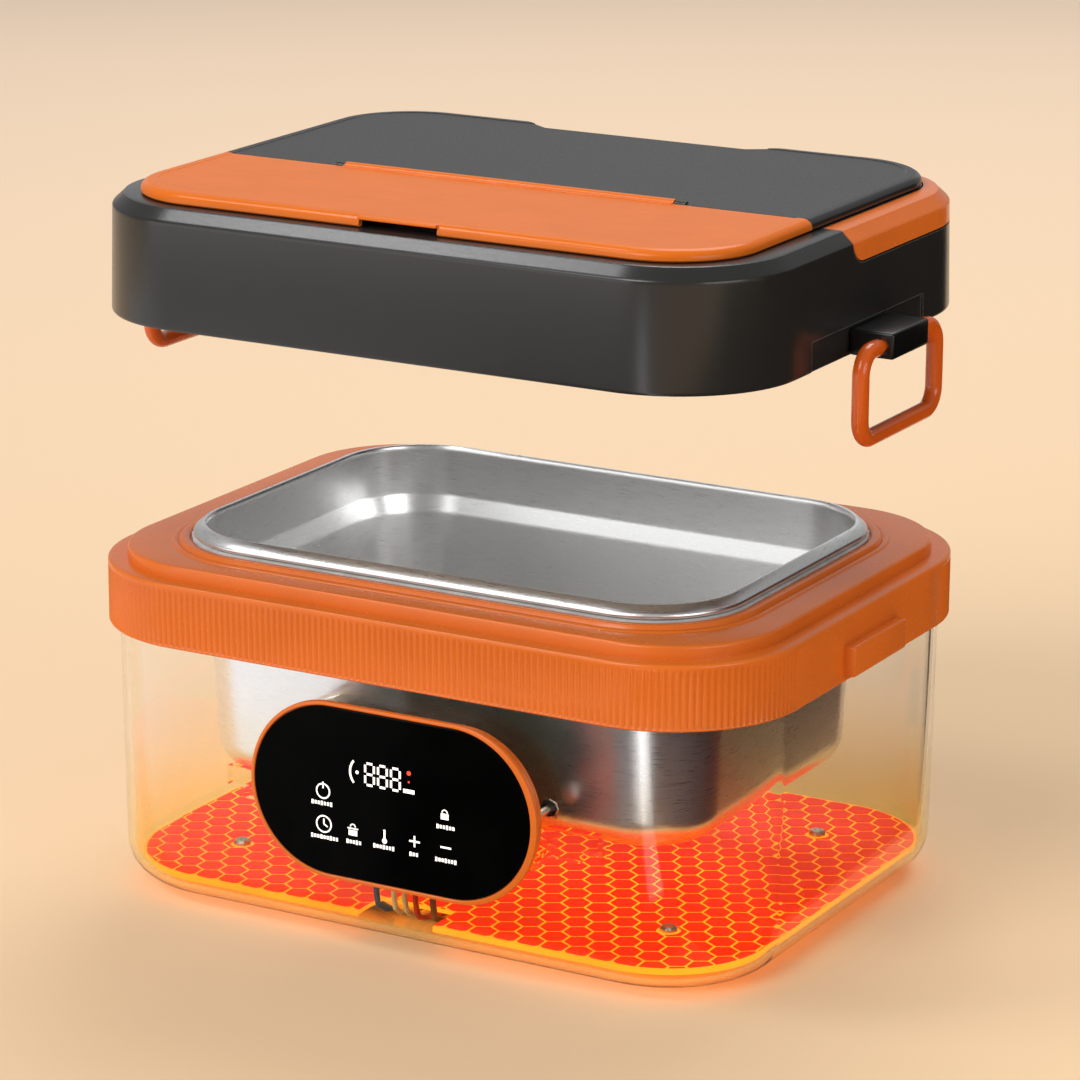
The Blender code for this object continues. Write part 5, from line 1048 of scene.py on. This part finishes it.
def make_lid_body():
    """The dark lid with the handle's rebate, the finger notch, pin holes, bail pockets and screw holes."""
    shell = loft("lid_body", lid_rings(LID_Z, True))
    hollow_lid(shell)
    end_radius = HANDLE_END_RADIUS + RUN_GAP
    shaped(shell, handle_region("rebate", 0.0, end_radius, HANDLE_PIVOT[2] - end_radius))
    shaped(shell, prism("scoop", notch_outline(), LEDGE_Z - SCOOP_DEPTH, LEDGE_Z + OVER))
    for side in SIDES:
        ends = side_range(side, TOP_HALF_X - HANDLE_PIN_ROOT - FIT_GAP, TOP_HALF_X + OVER)
        shaped(shell, rod("pin_hole", HANDLE_PIN_RADIUS + FIT_GAP, *ends, HANDLE_PIVOT, "x"))
        xs = side_range(side, LID_HIGH.x - POCKET_DEPTH, LID_HIGH.x + OVER)
        shaped(shell, block("pocket", (xs[0], -POCKET_HALF, LID_Z - OVER),
                            (xs[1], POCKET_HALF, LID_Z + POCKET_HEIGHT)))
    for x, y in [(sx * LINER_SCREW_X, sy * LINER_SCREW_Y) for sx in SIDES for sy in SIDES]:
        ends = (LID_RIM_Z - OVERLAP, LID_RIM_Z + SCREW_HOLE_RISE)
        shaped(shell, rod("screw_hole", SCREW_BORE, *ends, (x, y, 0)))
    place(shell, "dark_plastic", "lid", "dark_plastic", "lid_shell")


def top_plateau(name):
    """The whole raised top with its rounded shoulder and a fine line inside it."""
    rise = TOP_Z - TOP_BASE_Z
    wall = rise * TOP_WALL_SHARE
    profile = [(TOP_FOOT, 0.0), (0.0, TOP_FOOT), (0.0, wall)]
    for degrees in TOP_ROUND_ANGLES:
        angle = math.radians(degrees)
        profile.append((TOP_ROUND * (1 - math.cos(angle)), wall + (rise - wall) * math.sin(angle)))
    profile += [(TOP_ROUND, rise)] + raised(TOP_LINE, rise)
    return loft(name, [[(x, y, TOP_BASE_Z + z) for x, y in top_outline(inset)] for inset, z in profile])


def make_rear_top():
    """The rear half of the raised top, with the finger notch and the ears of the cover's hinge."""
    panel = top_plateau("rear_top")
    through = (TOP_BASE_Z - OVER, TOP_Z + OVER)
    shaped(panel, beam("split", TOP_HALF_X + OVER, (TOP_FRONT_Y - OVER, COVER_REAR_Y + COVER_SPLIT), through))
    bay_x = HINGE_HALF_X + EAR_GAP
    bay_rear = HINGE_AT[1] + BARREL_RADIUS + RUN_GAP
    shaped(panel, beam("bay", bay_x, (COVER_REAR_Y - OVER, bay_rear), through))
    shaped(panel, prism("notch", notch_outline(), *through))
    for side in SIDES:
        ends = side_range(side, bay_x, bay_x + EAR_LENGTH)
        shaped(panel, rod("ear", EAR_RADIUS, *ends, HINGE_AT, "x"), "UNION")
    bore_x = HINGE_HALF_X + EAR_LENGTH
    shaped(panel, rod("bore", HINGE_PIN_RADIUS + HINGE_PLAY, -bore_x, bore_x, HINGE_AT, "x"))
    place(panel, "dark_texture", "lid", "dark_plastic", "rear_panel")


def make_cover():
    """The front half of the raised top, hollow below, with a finger tab and a hinge barrel."""
    cover = top_plateau("cover_panel")
    low = TOP_BASE_Z - OVER
    shaped(cover, beam("split", TOP_HALF_X + OVER, (COVER_REAR_Y, TOP_BACK_Y + OVER), (low, TOP_Z + OVER)))
    side_x = TOP_HALF_X - COVER_RIM
    rear_y = COVER_REAR_Y - COVER_RIM
    hollow = top_outline(COVER_RIM)[2 * (CORNER_STEPS + 1):] + [(side_x, rear_y), (-side_x, rear_y)]
    shaped(cover, prism("hollow", hollow, low, TOP_Z - COVER_SKIN))
    tab_z = TOP_Z - TAB_THICKNESS
    shaped(cover, beam("recess", TAB_HALF_X, (TOP_FRONT_Y - OVER, TOP_FRONT_Y + RECESS_DEPTH), (low, tab_z)))
    tab_y = (TOP_FRONT_Y - TAB_REACH + TAB_SHORT, TOP_FRONT_Y + TAB_ROOT)
    shaped(cover, beam("tab", TAB_HALF_X, tab_y, (tab_z, TOP_Z - SKIN_STEP), TAB_EDGE), "UNION")
    shaped(cover, beam("web", HINGE_HALF_X, (COVER_REAR_Y - WEB_REACH, HINGE_AT[1]),
                       (HINGE_AT[2] - WEB_DROP, TOP_Z + SKIN_STEP)), "UNION")
    shaped(cover, rod("barrel", BARREL_RADIUS, -HINGE_HALF_X, HINGE_HALF_X, HINGE_AT, "x"), "UNION")
    bore_x = HINGE_HALF_X + OVER
    shaped(cover, rod("bore", HINGE_PIN_RADIUS + HINGE_PLAY, -bore_x, bore_x, HINGE_AT, "x"))
    place(cover, "orange_texture", "cover", "orange_plastic", "front_cover")


def make_handle():
    """The U-shaped handle, cut from the lid's own outer form."""
    bow = loft("handle_bow", lid_rings(HANDLE_LOW_Z, False))
    shaped(bow, handle_region("form", RUN_GAP, HANDLE_END_RADIUS, HANDLE_LOW_Z - OVER), "INTERSECT")
    for side in SIDES:
        ends = side_range(side, TOP_HALF_X - OVER, TOP_HALF_X + HANDLE_PIN_GRIP + FIT_GAP)
        shaped(bow, rod("bore", HANDLE_PIN_RADIUS + FIT_GAP, *ends, HANDLE_PIVOT, "x"))
    place(bow, "orange_plastic", "carry_handle", "orange_plastic", "handle")


def sweep(name, points, radii, sides=16):
    """A closed tube through points that lie in a plane of constant x."""
    side = Vector((1, 0, 0))
    rings = []
    for index, point in enumerate(points):
        along = (Vector(points[(index + 1) % len(points)]) - Vector(points[index - 1])).normalized()
        rings.append([Vector(point) + out for out in circle(radii[index], side, along.cross(side), sides)])
    return loft(name, rings, closed=True)


def bail_route(side):
    """The bail's centre line and its radius at each point, thinner where it runs through the block."""
    near = BLOCK_HIGH.y + BAIL_NECK_FAR
    thin = BLOCK_HIGH.y + BAIL_NECK_NEAR
    corners = rounded((-BAIL_HALF, BAIL_HALF), (BAIL_LOW_Z, BAIL_PIVOT_Z), BAIL_CORNER, BAIL_CORNER_STEPS)
    neck = [(along, BAIL_PIVOT_Z) for along in (near, thin, 0.0, -thin, -near)]
    split = BAIL_CORNER_STEPS + 1
    route = [(side * BAIL_X, y, z) for y, z in corners[:split] + neck + corners[split:]]
    radii = [BAIL_RADIUS] * len(route)
    for index in range(split + 1, split + 4):
        radii[index] = BAIL_PIN_RADIUS
    return route, radii


def make_bails():
    """The wire bails on both sides, and the black blocks that they turn in."""
    for side, suffix in ((-1, "left"), (1, "right")):
        loop = sweep(f"bail_loop_{suffix}", *bail_route(side))
        place(loop, "orange_bail", f"latch_{suffix}", "orange_bail", f"bail_{suffix}")
        low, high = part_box(f"bail_block_{suffix}")
        housing = block(f"bail_housing_{suffix}", low, high, BLOCK_EDGE)
        at = (side * BAIL_X, 0, BAIL_PIVOT_Z)
        shaped(housing, rod("bore", BAIL_PIN_RADIUS + FIT_GAP, -OVER * 2, OVER * 2, at, "y"))
        place(housing, "black_plastic", "lid", "black_plastic", f"bail_block_{suffix}")


# Studio

EYE = Vector((0.67923, -1.19885, 0.50376))
BACK = Vector((0.47256, -0.83819, 0.27226))
ROLL = math.radians(0.29)
LENS = 145.56
SENSOR = 36
CLIP_END = 100
SKY = (1.0, 1.0, 1.0, 1)
SKY_STRENGTH = 0.33
SUN_STRENGTH = 1.35
SUN_WIDTH = math.radians(30)
SUN_WAY = Vector((0.22, 0.8, -0.58))
FLOOR_NEAR = (0.88, 0.63, 0.385)
FLOOR_FAR = (0.79, 0.62, 0.475)
FLOOR_STAIN = (0.7, 0.5, 0.32)
FLOOR_HALF = 40
FLOOR_LOW_Z = -0.02
FLOOR_TOP_Z = -0.0002
FLOOR_WAY = (-0.6, 0.8, 0)
LOW_Z = (0.001, 0.003)

# Lamps: name, place, aim, size and watts
LAMPS = (
    ("front_left", (-0.62, -1.05, 0.2), (0, 0, 0.12), (1.1, 0.5), 2.2),
    ("back_left", (-0.85, 1.5, 0.62), (0, 0, 0.2), (1.7, 0.7), 0.85),
    ("overhead", (-0.3, 1.3, 2.2), (0, 0, 0.1), (1.3, 1.3), 26),
    ("edge_light", (-0.85, -0.49, 1.6), (0, 0, 0.15), (0.45, 0.45), 6),
    ("right_fill", (1.4, -0.55, 0.55), (0, 0, 0.12), (0.9, 0.6), 5),
)

# Cards seen only in reflections, painting dark and light reflections and a highlight: name, outline, heights,
# grey and glow
CARDS = (
    ("side_card", [(0.46, 0.05), (0.47, 0.05), (0.47, 1.3), (0.46, 1.3)], (0.004, 0.42), 0.003, 0),
    ("side_floor_card", [(0.136, -0.45), (1.6, -0.45), (1.6, 1.6), (0.136, 1.6)], LOW_Z, 0.003, 0),
    ("far_floor_card", [(-1.4, -1.4), (0.3, -1.4), (0.2, -0.55), (-1.4, -0.55)], LOW_Z, 0.52, 0),
    ("left_floor_card", [(-0.8, -0.55), (-0.26, -0.55), (-0.01, -0.11), (-0.8, -0.11)], LOW_Z, 0.8, 0.15),
    ("near_floor_card", [(-0.26, -0.55), (0.2, -0.55), (0.15, -0.11), (-0.01, -0.11)], LOW_Z, 0.1, 0),
    ("highlight_card", [(0.02, -0.95), (0.13, -0.95), (0.125, -0.15), (0.105, -0.15)], (0.004, 0.006),
     0.5, 2.4),
)


def make_camera():
    """The photo's own camera, fitted to the edges of the object."""
    back = BACK.normalized()
    right = Vector((0, 0, 1)).cross(back).normalized()
    up = back.cross(right)
    data = bpy.data.cameras.new("camera")
    data.sensor_width = SENSOR
    data.lens = LENS
    data.clip_end = CLIP_END
    camera = in_scene("camera", data)
    turn = Matrix.Rotation(ROLL, 3, back) @ Matrix((right, up, back)).transposed()
    camera.matrix_world = Matrix.Translation(EYE) @ turn.to_4x4()
    bpy.context.scene.camera = camera


def softbox(name, at, aim, size, watts):
    data = bpy.data.lights.new(name, "AREA")
    data.shape = "RECTANGLE"
    data.size, data.size_y = size
    data.energy = watts
    lamp = in_scene(name, data)
    lamp.location = at
    lamp.rotation_euler = (Vector(aim) - Vector(at)).to_track_quat("-Z", "Y").to_euler()


def make_sun():
    data = bpy.data.lights.new("key", "SUN")
    data.energy = SUN_STRENGTH
    data.angle = SUN_WIDTH
    in_scene("key", data).rotation_euler = SUN_WAY.to_track_quat("-Z", "Y").to_euler()


def make_floor():
    """A paper sweep whose colour changes slowly away from the camera."""
    floor = beam("floor", FLOOR_HALF, (-FLOOR_HALF, FLOOR_HALF), (FLOOR_LOW_Z, FLOOR_TOP_Z))
    shade = Shade("floor_paper", FLOOR_NEAR, 0.9, specular=0.1)
    along = shade.dot(shade.place, FLOOR_WAY)
    base = shade.mix(shade.span(along, 0, 1, start=-0.2, end=2.0), FLOOR_NEAR, FLOOR_FAR)
    stain = shade.span(shade.noise(scale=1.2, detail=2), low=0, high=0.04)
    shade.put("Base Color", shade.mix(stain, base, FLOOR_STAIN))
    floor.data.materials.append(shade.material)


def make_card(name, outline, heights, grey, glow):
    """A plain card that only reflections show, also those seen through the clear tub: a painted reflection of
    shade or light that is never seen directly and casts no shadow.
    """
    card = prism(name, outline, *heights)
    shade = Shade(name, (grey, grey, grey), 0.9, specular=0.0)
    shade.put("Emission Color", (1, 1, 1))
    shade.put("Emission Strength", glow)
    rays = shade.node("ShaderNodeLightPath")
    reflected = shade.span(rays.outputs["Glossy Depth"], 0, 1, 0, 1)
    shade.by_ray(reflected, shade.node("ShaderNodeBsdfTransparent"), shade.shader)
    card.data.materials.append(shade.material)
    card.visible_camera = False
    card.visible_diffuse = False
    card.visible_shadow = False


def make_studio():
    """The floor, the cards, an even sky, the sun and the lamps."""
    make_floor()
    for card in CARDS:
        make_card(*card)
    world = bpy.data.worlds.new("studio")
    bpy.context.scene.world = world
    world.use_nodes = True
    sky = world.node_tree.nodes["Background"]
    sky.inputs["Color"].default_value = SKY
    sky.inputs["Strength"].default_value = SKY_STRENGTH
    make_sun()
    for lamp in LAMPS:
        softbox(*lamp)


for name, node in NODES.items():
    for holder in node.material_slots:
        holder.material = SHADES[SLOT_OF[name]]

make_tub()
make_collar()
make_pan()
make_plate()
make_panel()
make_symbols()
make_lid_body()
make_rear_top()
make_cover()
make_handle()
make_bails()
make_camera()
make_studio()
bpy.context.scene.view_settings.view_transform = "Standard"
